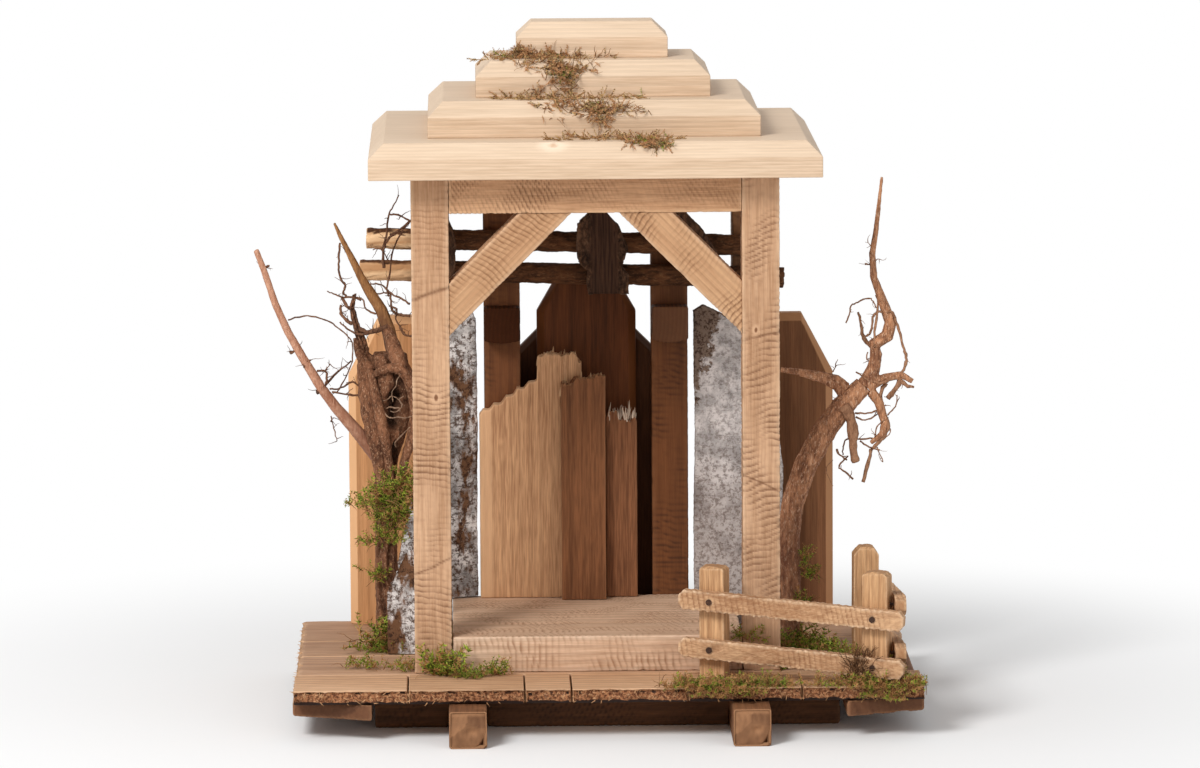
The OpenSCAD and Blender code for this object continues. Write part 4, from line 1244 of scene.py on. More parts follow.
# %% Birch paint
def birch_material(name, bare_share, tint, cloud_shade, crumb_share, dash_share, torn_corner=None,
        flaky_below=None):
    paint, tree, shader = new_material(name, 0.8, 0.2)
    coords = here(tree)
    cloud = ramp(tree, noise_of(tree, coords, 60.0, 5.0, 0.7), 0.36, 0.62)
    white = blend(tree, cloud, [c * cloud_shade for c in tint], tint)
    flat = stretch(tree, coords, (0.35, 0.35, 1.6))
    dashes = ramp(tree, noise_of(tree, flat, 420.0, 3.0, 0.6), 0.58, 0.66)
    colour = blend(tree, mul(tree, dashes, dash_share), white, (64, 48, 38))
    crumbs = ramp(tree, noise_of(tree, coords, 420.0, 5.0, 0.8), 0.48, 0.58)
    if flaky_below:
        crumb_share = ramp(tree, axis_of(tree, coords, "Z"), flaky_below - 30 * MM, flaky_below, 0.62,
            crumb_share)
    colour = blend(tree, mul(tree, crumbs, crumb_share), colour, (82, 60, 46))
    patches = noise_of(tree, stretch(tree, coords, (1.3, 1, 0.6)), 55.0, 5.0, 0.68)
    bare = ramp(tree, patches, 0.66 - bare_share * 0.3, 0.76 - bare_share * 0.3)
    brown = blend(tree, crumbs, (112, 78, 54), (62, 40, 27))
    colour = blend(tree, bare, colour, brown)
    if torn_corner:
        slant = less(tree, axis_of(tree, coords, "X"), mul(tree, axis_of(tree, coords, "Z"), 0.33))
        ragged = mul(tree, less(tree, noise_of(tree, coords, 150.0, 5.0, 0.7), 0.5), 0.026)
        middle = torn_corner.x - 0.33 * torn_corner.z
        torn = ramp(tree, add(tree, slant, ragged), middle - 1 * MM, middle + 1 * MM, 1.0, 0.0)
        grey = blend(tree, crumbs, (128, 108, 94), (70, 52, 42))
        colour = blend(tree, torn, colour, grey)
    front = mul(tree, axis_of(tree, here(tree, "Normal"), "Y"), -1.0)
    side = ramp(tree, front, 0.15, 0.55, 1.0, 0.0)
    wood = blend(tree, noise_of(tree, coords, 300.0, 2.0), (70, 42, 26), (128, 88, 58))
    colour = blend(tree, side, colour, wood)
    feed(tree, shader.inputs["Base Color"], colour)
    height = add(tree, noise_of(tree, coords, 500.0, 4.0, 0.7), mul(tree, dashes, -0.4))
    add_bump(tree, shader, height, 0.6, 0.0006)
    return paint


# %% Birch slabs
def birch_relief(seed):
    def relief(point, normal):
        broad = noise_at(point.x, point.z, seed, 0.011)
        flaky = noise_at(point.x, point.z * 2.2, seed + 4, 0.0028)
        rough = noise_at(point.x, point.z, seed + 9, 0.0012)
        return (0.9 + 0.7 * broad + 0.45 * flaky + 0.25 * rough) * 0.6 * MM, 0.0

    return relief


torn_corner_seen = (697, 392)
birch_left_paint = birch_material("birch_left", bare_share=0.55, tint=(232, 226, 222), cloud_shade=0.6,
    crumb_share=0.92, dash_share=0.8)
birch_right_paint = birch_material("birch_right", bare_share=0.15, tint=(220, 212, 208), cloud_shade=0.76,
    crumb_share=0.45, dash_share=0.3, torn_corner=seen_at(*torn_corner_seen, 124), flaky_below=level(116))
tone_along(birch_right_paint, "Z", level(112), level(66), (92, 70, 56), 0.4)
carved_piece("left_birch_slab", 0.95, birch_left_paint, birch_relief(2.0))
carved_piece("right_birch_slab", 0.95, birch_right_paint, birch_relief(9.0))

# %% [markdown]
# ## Dark bark and the log rails
#
# Bark breaks into scales between furrows that follow the length of the piece. The hollows are painted nearly
# black as painted shade, and the scales carry flecks.


# %% Bark paint and its furrows
def bark_material(name, light, dark, fleck, fleck_share, axis_stretch=(1, 1, 0.35), roughness=0.85,
        hollow_shade_share=0.85):
    paint, tree, shader = new_material(name, roughness, 0.2)
    coords = here(tree)
    long_coords = stretch(tree, coords, axis_stretch)
    scales = noise_of(tree, long_coords, 620.0, 5.0, 0.7)
    patches = noise_of(tree, long_coords, 110.0, 2.0)
    tone = add(tree, mul(tree, scales, 0.65), mul(tree, patches, 0.35))
    colour = blend(tree, ramp(tree, tone, 0.36, 0.64), dark, light)
    spots = use_group(tree, flecks_group, Vector=long_coords, Scale=1250.0, Amount=0.55)["Flecks"]
    colour = blend(tree, mul(tree, spots, fleck_share), colour, fleck)
    # Painted shade: the groove layer darkens furrows and hollows nearly to black.
    for layer, tone, share in (("groove", [c * 0.45 for c in dark], hollow_shade_share), ("edge", fleck, 0.5)):
        colour = blend(tree, mul(tree, painted(tree, layer), share, clamp=True), colour, tone)
    feed(tree, shader.inputs["Base Color"], colour)
    add_bump(tree, shader, scales, 0.7, 0.0008)
    return paint


def bark_relief(seed, axis=2, depth=0.9 * MM, furrow=0.0035, run=0.35, crease_share=0.75):
    """Scales between furrows that follow the length."""
    def relief(point, normal):
        stretched = point.copy()
        stretched[axis] *= run
        crease = 1 - abs(noise_at(*(stretched + Vector((seed, 0, seed)) * 0.01), furrow)) * 2.6
        crease = max(0.0, crease) ** 2
        rough = noise_at(*(point + Vector((0, seed, 0)) * 0.01), 0.0016)
        broad = noise_at(*(point + Vector((seed, seed, 0)) * 0.01), 0.009)
        return depth * (0.15 + crease_share * crease + 0.3 * rough + 0.35 * broad), crease * crease_share

    return relief


# %% Bark pieces under the roof
king_low, king_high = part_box("bark_king_piece")
king_middle = (king_low.x + king_high.x) / 2 + 1 * MM
king_paint = bark_material("king_bark", (112, 80, 58), (50, 30, 19), (136, 104, 80), 0.4, (1, 1, 0.7))


def bared_middle(paint, middle, reach):
    """The bark is left on both sides only; between them lies smooth dark wood with upright fibres."""
    tree, socket, bark = colour_of(paint)
    coords = here(tree)
    off = math_of(tree, "ABSOLUTE", less(tree, axis_of(tree, coords, "X"), middle))
    ragged = mul(tree, noise_of(tree, coords, 160.0, 3.0), 5 * MM)
    border = ramp(tree, add(tree, off, ragged), reach, reach + 1 * MM)
    fibre = noise_of(tree, stretch(tree, coords, (1, 1, 0.05)), 900.0, 2.0)
    wood = blend(tree, ramp(tree, fibre, 0.35, 0.65), (52, 33, 23), (80, 54, 39))
    feed(tree, socket, blend(tree, border, wood, bark))


def border_relief(middle, reach):
    """Coarse bark on both sides and flat wood between them."""
    bark = bark_relief(4.0, depth=1.6 * MM, furrow=0.004, run=0.7)

    def relief(point, normal):
        push, shade = bark(point, normal)
        border = smooth_step(abs(point.x - middle) + 2 * MM * noise_at(point.x, point.z, 2.2, 0.006),
            reach - 1 * MM, reach + 1 * MM)
        return border * push + (1 - border) * 1.3 * MM, border * shade

    return relief


bared_middle(king_paint, king_middle, 9.5 * MM)
carved_piece("bark_king_piece", 0.7, king_paint, border_relief(king_middle, 7 * MM))
side_bark = bark_material("side_bark", (104, 72, 50), (50, 30, 19), (128, 96, 72), 0.35)
for number, node in enumerate(("bark_brace", "bark_cleat")):
    carved_piece(node, 0.7, side_bark, bark_relief(5.0 + number, depth=1.2 * MM),
        smoothing=1)

# %% Log rails
log_paint = bark_material("log_bark", (110, 70, 42), (60, 34, 18), (146, 104, 70), 0.35, (0.3, 1, 1),
    hollow_shade_share=0.5)


def log_with_pale_end():
    """The rails have been split at their left ends, where the pale wood shows."""
    tree, socket, bark = colour_of(log_paint)
    coords = here(tree)
    ragged = noise_of(tree, stretch(tree, coords, (0.2, 1, 1)), 200.0)
    where = add(tree, axis_of(tree, coords, "X"), mul(tree, ragged, 0.02))
    split_end = place(-88, 0, 0).x
    along = ramp(tree, where, split_end - 6 * MM, split_end + 12 * MM, 1.0, 0.0)
    facing = axis_of(tree, here(tree, "Normal"), "Z")
    under = ramp(tree, add(tree, facing, ragged), 1.0, 1.3, 1.0, 0.0)
    streak = ramp(tree, use_group(tree, fibre_group, Vector=coords)["Streak"], 0.3, 0.7)
    pale = blend(tree, streak, (184, 136, 94), (234, 194, 150))
    feed(tree, socket, blend(tree, mul(tree, along, under), bark, pale))


log_with_pale_end()
for number, node in enumerate(("upper_log_rail", "lower_log_rail")):
    carved_piece(node, 0.8, log_paint,
        bark_relief(12.0 + number * 5, axis=0, depth=0.8 * MM, furrow=0.004, run=0.3), smoothing=3)

# %% [markdown]
# ## Splinters and a strip of birch
#
# Pale splinters stick out of the bark of the deck and out of its split ends. A narrow strip of birch bark
# leans in front of the root, cut off at a slant.

# %% Splinters along the edge of the deck
chance = random.Random(21)
deck_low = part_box("front_plank_1")[0]
deck_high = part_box("front_plank_6")[1]
edge_spots = []
edge_count = 230
edge_run = deck_high.x - deck_low.x - 12 * MM
for number in range(edge_count):
    x = deck_low.x + 4 * MM + edge_run * chance.random()
    rise = chance.random() ** 0.6
    foot = Vector((x, deck_low.y + chance.uniform(1.4, 2.8) * MM,
        deck_low.z + 0.6 * MM + (deck_top - deck_low.z - 1 * MM) * rise))
    heading = Vector((chance.choice((-1, 1)) * chance.random(), chance.uniform(-0.6, 0.0),
        chance.uniform(-0.8, 0.5)))
    edge_spots.append((foot, heading.normalized(), chance.uniform(1.2, 3.6) * MM))
bark_sliver_paint = timber("bark_sliver_wood", (206, 160, 116), (128, 78, 44), "across")
slivers("deck_slivers", edge_spots, bark_sliver_paint, seed=22, widths=(0.12, 0.34))

# %% Splinters at the split ends
end_spots = []
end_count = 110
for number in range(end_count):
    y = chance.uniform(deck_low.y + 2 * MM, place(0, 160, 0).y)
    foot = Vector((deck_low.x + chance.uniform(2, 4) * MM, y,
        chance.uniform(deck_low.z + 0.4 * MM, deck_top) + 0.1 * MM))
    heading = Vector((-1, chance.uniform(-0.6, 0.6), chance.uniform(-0.2, 0.4)))
    end_spots.append((foot, heading.normalized(), chance.uniform(1.5, 4) * MM))
slivers("end_slivers", end_spots, sliver_paint, seed=23, widths=(0.2, 0.5))

# %% The strip of birch
strip_low = place(-113, 58, 0)
strip_high = place(-92, 62, 74)
bm = block_mesh(strip_low, strip_high, 2, long_step=1 * MM, cross_step=1 * MM, ease=0.5 * MM)
cut_off(bm, place(-113, 60, 34), Vector((-1, 0, 0.5)).normalized())
carve(bm, birch_relief(15.0))
make_piece("birch_strip", bm, birch_left_paint, [])

# %% [markdown]
# ## The fence
#
# The fence is split and hand sawn: close saw marks, lower edges nibbled in scallops, posts with long torn
# grain. The nails stay as they were built and only get steel.


# %% Nibbled rails
scallop_run = 4.1 * MM


def nibbled(saw, direction, bite):
    """Adds small scallops to the lower and upper edges of a rail."""
    def relief(point, normal):
        push, shade = saw(point, normal)
        along = point.dot(direction)
        scallop = 0.5 + 0.5 * math.sin(math.tau * along / scallop_run + 2 * noise_at(along, 0, 4.4, 0.01))
        edge_share = abs(normal.z)
        push += bite * edge_share * (scallop if normal.z < 0 else 0.35 * scallop)
        return push, 0.8 * shade + 0.3 * noise_at(point.x, point.z, 7.7, 0.006)

    return relief


# %% Fence posts and rails
rail_paint = timber("fence_rail_wood", (210, 168, 128), (150, 104, 69), "across", (0, 0.01, 0.02), 0.003,
    0.12, 0.7, groove=(120, 76, 46), worn=(246, 220, 188), cut=(176, 132, 94), bump=0.6, patchy=0.35)
side_rail_paint = timber("fence_side_rail_wood", (206, 166, 128), (160, 116, 82), "back", (0, 0.01, 0.02),
    0.0024, 0.5, 0.7, groove=(130, 88, 56), worn=(232, 198, 160), cut=(172, 126, 88), bump=0.5)
fence_post_paint = timber("fence_post_wood", (218, 172, 126), (152, 107, 70), "up", (0, 0.012, 0.016),
    0.0026, 0.25, 0.9, groove=(112, 70, 42), worn=(240, 212, 176), cut=(164, 122, 86), bump=0.7)
fence_turn = math.radians(-15)
front_run = Vector((math.cos(fence_turn), math.sin(fence_turn), 0))
for node, axis, run, paint in (("fence_front_rails", 0, front_run, rail_paint),
        ("fence_side_rails", 1, Vector((0, 1, 0)), side_rail_paint)):
    saw = coarse_saw(axis, spacing=2.6, depth=0.13, tilt=0.16, seed=14.0, chip_depth=0.45)
    carved_piece(node, 0.6, paint, nibbled(saw, run, 1.0 * MM), wear_rounds=2)
for number, node in enumerate(("fence_left_post", "fence_corner_post", "fence_back_post")):
    carved_piece(node, 0.6, fence_post_paint, grain_relief(3.0 + number * 2.7, 0.55 * MM),
        wear_rounds=1)

# %% Nails
nail_steel, tree, shader = new_material("nail_steel", 0.6, 0.3)
rust = ramp(tree, noise_of(tree, here(tree), 900.0, 3.0), 0.45, 0.65)
feed(tree, shader.inputs["Base Color"], blend(tree, rust, (58, 37, 26), (84, 52, 33)))
shader.inputs["Metallic"].default_value = 0.2
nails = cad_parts["fence_nails"].data
nails.materials.clear()
nails.materials.append(nail_steel)

# %% [markdown]
# ## Root and tree
#
# The big limbs are carved copies, smoothed so that their joints run into one another. The thin twigs are
# read off the picture: named picture points joined by a smooth curve. Rootlets sprout from them by chance,
# always the same way because the chance has a fixed seed.

# %% Limbs
root_paint = bark_material("root_bark", (142, 96, 68), (76, 46, 30), (192, 152, 120), 0.5, (1, 1, 0.5),
    hollow_shade_share=0.75)
peeled_paint = bark_material("peeled_bark", (206, 156, 128), (166, 112, 86), (226, 186, 156), 0.35,
    (1, 1, 0.15), 0.7, 0.35)
tone_along(peeled_paint, "Z", level(135), level(105), (124, 80, 58), 0.75)
upright_paint = bark_material("upright_bark", (166, 118, 72), (112, 72, 42), (192, 146, 98), 0.35,
    (1, 1, 0.15), 0.7, 0.35)
tone_along(upright_paint, "Z", level(196), level(168), (98, 66, 46), 0.7)
tree_paint = bark_material("tree_bark", (198, 142, 104), (112, 71, 50), (226, 186, 154), 0.6, (1, 1, 0.3),
    hollow_shade_share=0.7)
tone_along(tree_paint, "Z", level(100), level(60), (88, 53, 39), 0.4)
# Node, paint, slot, size of a face, depth, width of the furrows and share of the creases
limbs = (
    ("root_low_branch", peeled_paint, "peeled_branch", 0.5, 0.3, 0.003, 0.15),
    ("root_upright_branch", upright_paint, "root_wood", 0.45, 0.35, 0.003, 0.2),
    ("tree_trunk", tree_paint, "tree_wood", 0.72, 0.8, 0.0028, 0.4),
    ("tree_side_branch", tree_paint, "tree_wood", 0.5, 0.5, 0.0025, 0.4),
    ("tree_upright_branch", tree_paint, "tree_wood", 0.45, 0.35, 0.002, 0.3),
)
for number, (node, paint, slot, voxel, depth, furrow, crease) in enumerate(limbs):
    relief = bark_relief(20.0 + number * 3, depth=depth * MM, furrow=furrow, run=0.3, crease_share=crease)
    carved_piece(node, voxel, paint, relief, smoothing=5)

# %% [markdown]
# ## The knot of the root
#
# Several roots have grown into one another round a hollow, painted dark as painted shade. Furrows that wind
# round the middle, darkened with painted shade, divide the knot into strands, and single roots are laid over
# it as thick tubes.


# %% Strands and hollows of the knot
knot_strands = 5


def slice_middles(bm, step):
    """The middle of a limb at every height."""
    sums = {}
    for v in bm.verts:
        entry = sums.setdefault(round(v.co.z / step), [0, 0.0, 0.0])
        entry[0] += 1
        entry[1] += v.co.x
        entry[2] += v.co.y
    return {key: (x / count, y / count) for key, (count, x, y) in sums.items()}


def knot_relief(bm, bark, hollows, saw_line, seed):
    """Furrows that wind round the middle and hollows, both painted dark as shade, and a rough top."""
    step = 3 * MM
    middles = slice_middles(bm, step)

    def relief(point, normal):
        push, shade = bark(point, normal)
        middle_x, middle_y = middles.get(round(point.z / step), (point.x, point.y))
        turn = math.atan2(point.y - middle_y, point.x - middle_x)
        sway = noise_at(point.x, point.z, seed, 0.02)
        wave = math.cos(knot_strands * turn + point.z / (15 * MM) + 2.2 * sway)
        gap = smooth_step(wave, 0.3, 1.0)
        push += 2.0 * MM * gap
        # Painted shade in the furrows between the strands.
        shade += 0.4 * gap
        for spot, wide, tall, deep in hollows:
            off = ((point.x - spot.x) / wide) ** 2 + ((point.z - spot.z) / tall) ** 2
            off += 0.3 * noise_at(point.x, point.z, seed + 3, 0.005)
            hole = (1 - smooth_step(off, 0.45, 1.25)) * smooth_step(-normal.y, 0.1, 0.6)
            push += deep * hole
            # Painted shade in the hollows.
            shade += 1.2 * hole
        top = smooth_step(normal.z, 0.4, 0.9) * smooth_step(point.z, saw_line - 14 * MM, saw_line)
        push += top * 3.5 * MM * half_noise(point.x, point.y, seed + 6, 0.005)
        return push, shade

    return relief


# %% The knot
hollow_seen = (397, 411)
low_hollow_seen = (396, 462)
knot_front = 71
hollows = ((seen_at(*hollow_seen, knot_front), 6.2 * MM, 12 * MM, 8.5 * MM),
    (seen_at(*low_hollow_seen, knot_front), 2.2 * MM, 11 * MM, 3.5 * MM))
bm = fine_copy("root_trunk", 0.8, 4)
knot_bark = bark_relief(20.0, depth=1.0 * MM, furrow=0.0035, run=0.3, crease_share=0.3)
carve(bm, knot_relief(bm, knot_bark, hollows, saw_line=level(163), seed=5.0))
make_piece("root_trunk_wood", bm, root_paint, ["root_trunk"])


# %% Helpers for winding roots
def roughen(bm, amount, size, seed):
    bm.normal_update()
    for v in bm.verts:
        v.co += v.normal * amount * noise_at(v.co.x, v.co.z, seed + v.co.y * 40, size)


def winding_roots(name, runs, paint, seed):
    """Thick roots through picture points; every mark is across, down, depth and radius."""
    bm = bmesh.new()
    for number, run in enumerate(runs):
        path = spline_through([seen_at(*mark[:3]) for mark in run], 6)
        widths = spline_through([Vector((mark[3], 0, 0)) for mark in run], 6)
        radii = []
        for index, width in enumerate(widths):
            lump = 1 + 0.16 * noise.noise(Vector((index * 0.45, number * 3.1, seed)))
            radii.append(max(width.x, 0.2) * lump * MM)
        grow_tube(bm, path, radii, 9)
    roughen(bm, 0.35 * MM, 0.0022, seed)
    make_piece(name, bm, paint, [])


# %% Roots that wind over the knot
knot_roots = (((362, 356, 80, 2.2), (364, 378, 77, 3.6), (368, 402, 75, 4.6), (373, 428, 76, 4.8),
    (378, 452, 79, 4.0), (381, 480, 81, 3.2), (382, 512, 82, 2.4), (384, 545, 82, 2.0)),
    ((370, 368, 74, 1.6), (375, 392, 72, 2.8), (380, 416, 71, 3.0), (385, 440, 74, 2.8), (389, 468, 79, 2.4),
    (391, 495, 81, 2.0), (388, 530, 82, 1.6)),
    ((372, 376, 73, 1.6), (383, 370, 71, 2.2), (394, 368, 70, 2.8), (404, 373, 71, 3.0), (411, 388, 73, 2.8),
    (414, 412, 75, 2.6), (411, 438, 76, 2.6), (404, 464, 79, 2.4), (400, 492, 81, 2.2), (399, 520, 82, 1.8)),
    ((385, 320, 82, 2.5), (389, 334, 79, 3.3), (394, 348, 76, 4.2), (398, 360, 73, 4.5),
    (400, 370, 72, 3.0)), ((355, 338, 84, 1.0), (358, 350, 82, 2.2), (364, 362, 78, 2.8),
    (372, 372, 75, 2.2)))
winding_roots("root_strands", knot_roots, root_paint, seed=4.0)
hair_paint = bark_material("root_hair", (160, 130, 106), (104, 76, 58), (190, 164, 140), 0.4)
root_hairs = (((384, 411, 71, 0.2), (387, 416, 70, 0.3), (392, 418, 70, 0.3), (398, 417, 70, 0.3),
    (405, 418, 70, 0.25), (412, 416, 72, 0.2)),
    ((386, 409, 70, 0.2), (390, 407, 69, 0.35), (395, 408, 69, 0.35), (399, 408, 69, 0.3),
    (400, 412, 70, 0.2)), ((396, 447, 72, 0.2), (395, 443, 71, 0.35), (399, 438, 71, 0.35),
    (403, 434, 71, 0.3), (410, 427, 72, 0.2)),
    ((383, 401, 70, 0.2), (388, 399, 69, 0.25), (392, 396, 69, 0.25), (398, 399, 69, 0.25),
    (403, 405, 70, 0.2)), ((401, 374, 67, 0.25), (397, 380, 67, 0.25), (396, 386, 67, 0.2),
    (392, 392, 68, 0.25), (393, 402, 69, 0.2)),
    ((404, 396, 70, 0.2), (399, 400, 69, 0.2), (402, 406, 69, 0.25), (396, 412, 69, 0.2),
    (390, 411, 70, 0.2)))
winding_roots("root_hairs", root_hairs, hair_paint, seed=6.0)
tree_joint = (((812, 462, 60, 4.2), (822, 441, 60, 4.9), (835, 421, 60, 4.8), (847, 405, 60, 4.3),
    (858, 391, 60, 3.6), (867, 377, 60, 2.9), (873, 361, 60, 2.0)),
    ((846, 404, 60, 2.2), (840, 390, 60, 2.6), (828, 381, 60, 2.5), (815, 377, 60, 2.1),
    (800, 373, 60, 1.8)), ((852, 396, 60, 1.8), (862, 387, 60, 2.0), (873, 382, 60, 1.6),
    (886, 381, 60, 1.3)))
winding_roots("tree_joint", tree_joint, tree_paint, seed=9.0)

# %% Twigs on the root, read from the picture
twig_colour = bark_material("twig_bark", (128, 90, 66), (78, 50, 36), (160, 120, 92), 0.3)
pale_twig_colour = bark_material("pale_twig_bark", (168, 124, 94), (112, 76, 54), (196, 156, 124), 0.3)
# A twig is its picture points and the width of its first and of its last end
root_twigs = (([(340, 243), (339, 258), (339, 270), (341, 280), (345, 284), (344, 290), (343, 292),
    (346, 296)], 0.55, 0.7), ([(327, 291), (334, 294), (342, 297), (352, 297), (361, 300)], 0.3, 0.7),
    ([(342, 297), (347, 306), (351, 309)], 0.8, 1.0),
    ([(341, 305), (341, 313), (347, 320), (352, 324)], 0.7, 1.1),
    ([(340, 322), (347, 329), (355, 333), (366, 334), (375, 330), (384, 327)], 0.4, 0.9),
    ([(288, 320), (304, 316), (319, 318), (330, 322), (341, 330), (350, 339), (353, 348), (352, 361),
    (347, 375), (337, 392)], 0.42, 0.36), ([(324, 387), (338, 372), (351, 361)], 0.8, 0.4),
    ([(317, 371), (325, 371), (327, 376), (326, 384)], 0.6, 0.6), ([(325, 371), (330, 364)], 0.4, 0.2),
    ([(330, 389), (341, 388), (352, 382), (358, 385), (366, 388)], 0.5, 0.6),
    ([(332, 392), (349, 395), (360, 395), (368, 398)], 0.5, 0.7),
    ([(384, 268), (383, 253), (386, 236), (389, 214), (392, 208), (399, 195)], 0.8, 0.25),
    ([(389, 214), (401, 216), (410, 221)], 0.5, 0.5),
    ([(410, 221), (397, 232), (387, 240), (383, 253)], 0.8, 0.6),
    ([(409, 221), (401, 233), (393, 250), (390, 270), (387, 289), (389, 296)], 0.5, 0.6),
    ([(373, 250), (379, 249), (385, 254), (388, 263)], 0.35, 0.3),
    ([(369, 284), (379, 284), (386, 289), (393, 295), (401, 298), (410, 304)], 0.4, 0.6),
    ([(373, 294), (387, 293), (391, 294)], 0.35, 0.5),
    ([(391, 294), (391, 303), (394, 312), (401, 315), (410, 316)], 0.6, 0.8),
    ([(389, 306), (397, 309), (396, 319), (400, 326)], 0.5, 0.5),
    ([(352, 297), (363, 299), (366, 309), (376, 314)], 0.35, 0.6),
    ([(360, 329), (369, 332), (381, 329), (388, 326)], 1.2, 1.4),
    ([(331, 416), (334, 428), (337, 441)], 0.35, 0.25), ([(400, 326), (404, 334), (412, 336)], 0.6, 0.6),
    ([(262, 268), (266, 267), (269, 265)], 1.0, 0.5), ([(290, 353), (294, 351), (297, 348)], 1.0, 0.4),
    ([(303, 366), (307, 364), (311, 360)], 1.2, 0.4), ([(317, 392), (322, 390), (328, 389)], 1.5, 0.7))


# %% Helpers for twigs
def surface_of(nodes):
    """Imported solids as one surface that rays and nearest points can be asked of."""
    bm = bmesh.new()
    for node in nodes:
        bm.from_mesh(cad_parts[node].data)
    surface = BVHTree.FromBMesh(bm)
    bm.free()
    return surface


depths_of_limbs = range(40, 92)
limb_reach = 7 * MM


def limb_depth(limbs, mark):
    """The depth at which the ray through a picture point passes closest to a limb, if that is near."""
    gaps = {depth: limbs.find_nearest(seen_at(*mark, depth))[3] for depth in depths_of_limbs}
    closest = min(gaps, key=gaps.get)
    return closest if gaps[closest] < limb_reach else None


def grow_twigs(name, twigs, last, limbs, paint, seed, sprouts, sprout_length):
    """Twigs through picture points, each with a few rootlets.

    A twig starts and ends at the depth of the limb it touches. Where it touches none, it keeps the depth
    at which the twig before it ended, because it grows on that one.
    """
    chance = random.Random(seed)
    bm = bmesh.new()
    for number, (marks, first_width, last_width) in enumerate(twigs):
        first_limb, last_limb = limb_depth(limbs, marks[0]), limb_depth(limbs, marks[-1])
        first = first_limb or last_limb or last
        last = last_limb or first
        points = []
        for index, mark in enumerate(marks):
            share = index / (len(marks) - 1)
            sway = 8 * share * (1 - share) * noise.noise(Vector((number * 1.7, index * 0.6, seed)))
            points.append(seen_at(*mark, first + (last - first) * share + sway))
        path = spline_through(points, 4)
        for index in range(1, len(path) - 1):
            path[index] += any_way(chance) * 0.28 * MM
        radii = [r * MM for r in knotty(len(path), first_width, last_width, number + seed, 0.35)]
        grow_tube(bm, path, radii, 6)
        for sprout in range(sprouts):
            index = chance.randrange(1, len(path))
            heading = any_way(chance, z=(-0.7, 1))
            length = chance.uniform(0.3, 1.0) * sprout_length * MM
            grow_hair(bm, chance, path[index], heading, length, (0.18, 0.36), sprout + 0.5, tip=0.35)
    make_piece(name, bm, paint, [])


# %% Grow the twigs on the root
root_limbs = surface_of(("root_trunk", "root_low_branch", "root_upright_branch"))
root_depth = 85
grow_twigs("root_twigs", root_twigs, root_depth, root_limbs, twig_colour, seed=3,
    sprouts=6, sprout_length=8)

# %% Twigs on the tree, read from the picture
tree_twigs = (([(887, 313), (892, 312), (896, 320), (899, 331), (903, 346), (906, 356), (906, 364),
    (901, 375), (898, 381)], 0.7, 0.9), ([(883, 312), (877, 312), (873, 317), (872, 326), (870, 333),
    (866, 336)], 0.7, 0.6), ([(876, 295), (878, 306), (876, 323), (874, 340), (875, 347)], 0.55, 0.8),
    ([(858, 312), (861, 323), (862, 333), (865, 340), (873, 347)], 0.5, 1.5),
    ([(846, 323), (849, 315), (851, 306), (858, 302), (868, 298), (873, 301), (876, 308)], 0.45, 0.4),
    ([(871, 246), (868, 242)], 0.35, 0.15), ([(873, 261), (879, 259)], 0.35, 0.2),
    ([(871, 265), (865, 264)], 0.35, 0.55), ([(873, 381), (880, 383), (887, 381), (895, 378), (901, 379)],
    1.0, 1.0), ([(900, 380), (908, 386), (914, 387)], 1.3, 0.6),
    ([(901, 380), (895, 390), (888, 398)], 1.7, 1.5), ([(868, 352), (867, 359), (870, 362)], 0.4, 0.4),
    ([(856, 372), (864, 377), (869, 381)], 0.4, 0.6),
    ([(886, 383), (880, 395), (883, 411), (888, 424), (885, 435), (877, 444), (871, 449)], 1.3, 1.0),
    ([(871, 449), (869, 460), (863, 482)], 1.0, 1.1),
    ([(843, 406), (849, 416), (853, 430), (853, 446), (856, 462)], 3.3, 2.2),
    ([(856, 417), (865, 420), (876, 415), (880, 409)], 0.5, 0.4),
    ([(855, 413), (868, 413), (880, 409), (886, 405)], 0.5, 0.4),
    ([(897, 395), (896, 404), (891, 412), (886, 416)], 0.35, 0.4),
    ([(876, 438), (862, 439), (847, 439), (843, 447), (843, 455)], 0.5, 0.35),
    ([(860, 441), (869, 447), (880, 450)], 0.5, 0.4),
    ([(848, 456), (839, 466), (845, 472), (853, 479)], 0.45, 0.5),
    ([(837, 449), (840, 455), (847, 460)], 0.6, 0.4), ([(877, 447), (883, 462)], 0.4, 0.25),
    ([(883, 421), (877, 427), (875, 437)], 0.4, 0.35), ([(889, 426), (890, 432), (883, 440)], 0.3, 0.3),
    ([(833, 372), (836, 366)], 0.35, 0.15), ([(838, 380), (835, 388), (838, 396), (832, 402)], 0.35, 0.2),
    ([(846, 384), (842, 392), (838, 398)], 0.35, 0.2), ([(833, 460), (826, 470), (833, 486)], 0.2, 0.15))
tree_limbs = surface_of(("tree_trunk", "tree_side_branch", "tree_upright_branch"))
tree_depth = 60
grow_twigs("tree_twigs", tree_twigs, tree_depth, tree_limbs, pale_twig_colour,
    seed=11, sprouts=3, sprout_length=6)

# %% [markdown]
# ## Moss
#
# A few sprigs are grown once, each a bent stem with narrow leaves, and copies of them are set on every
# packed tuft, so the moss stays where the model has it.


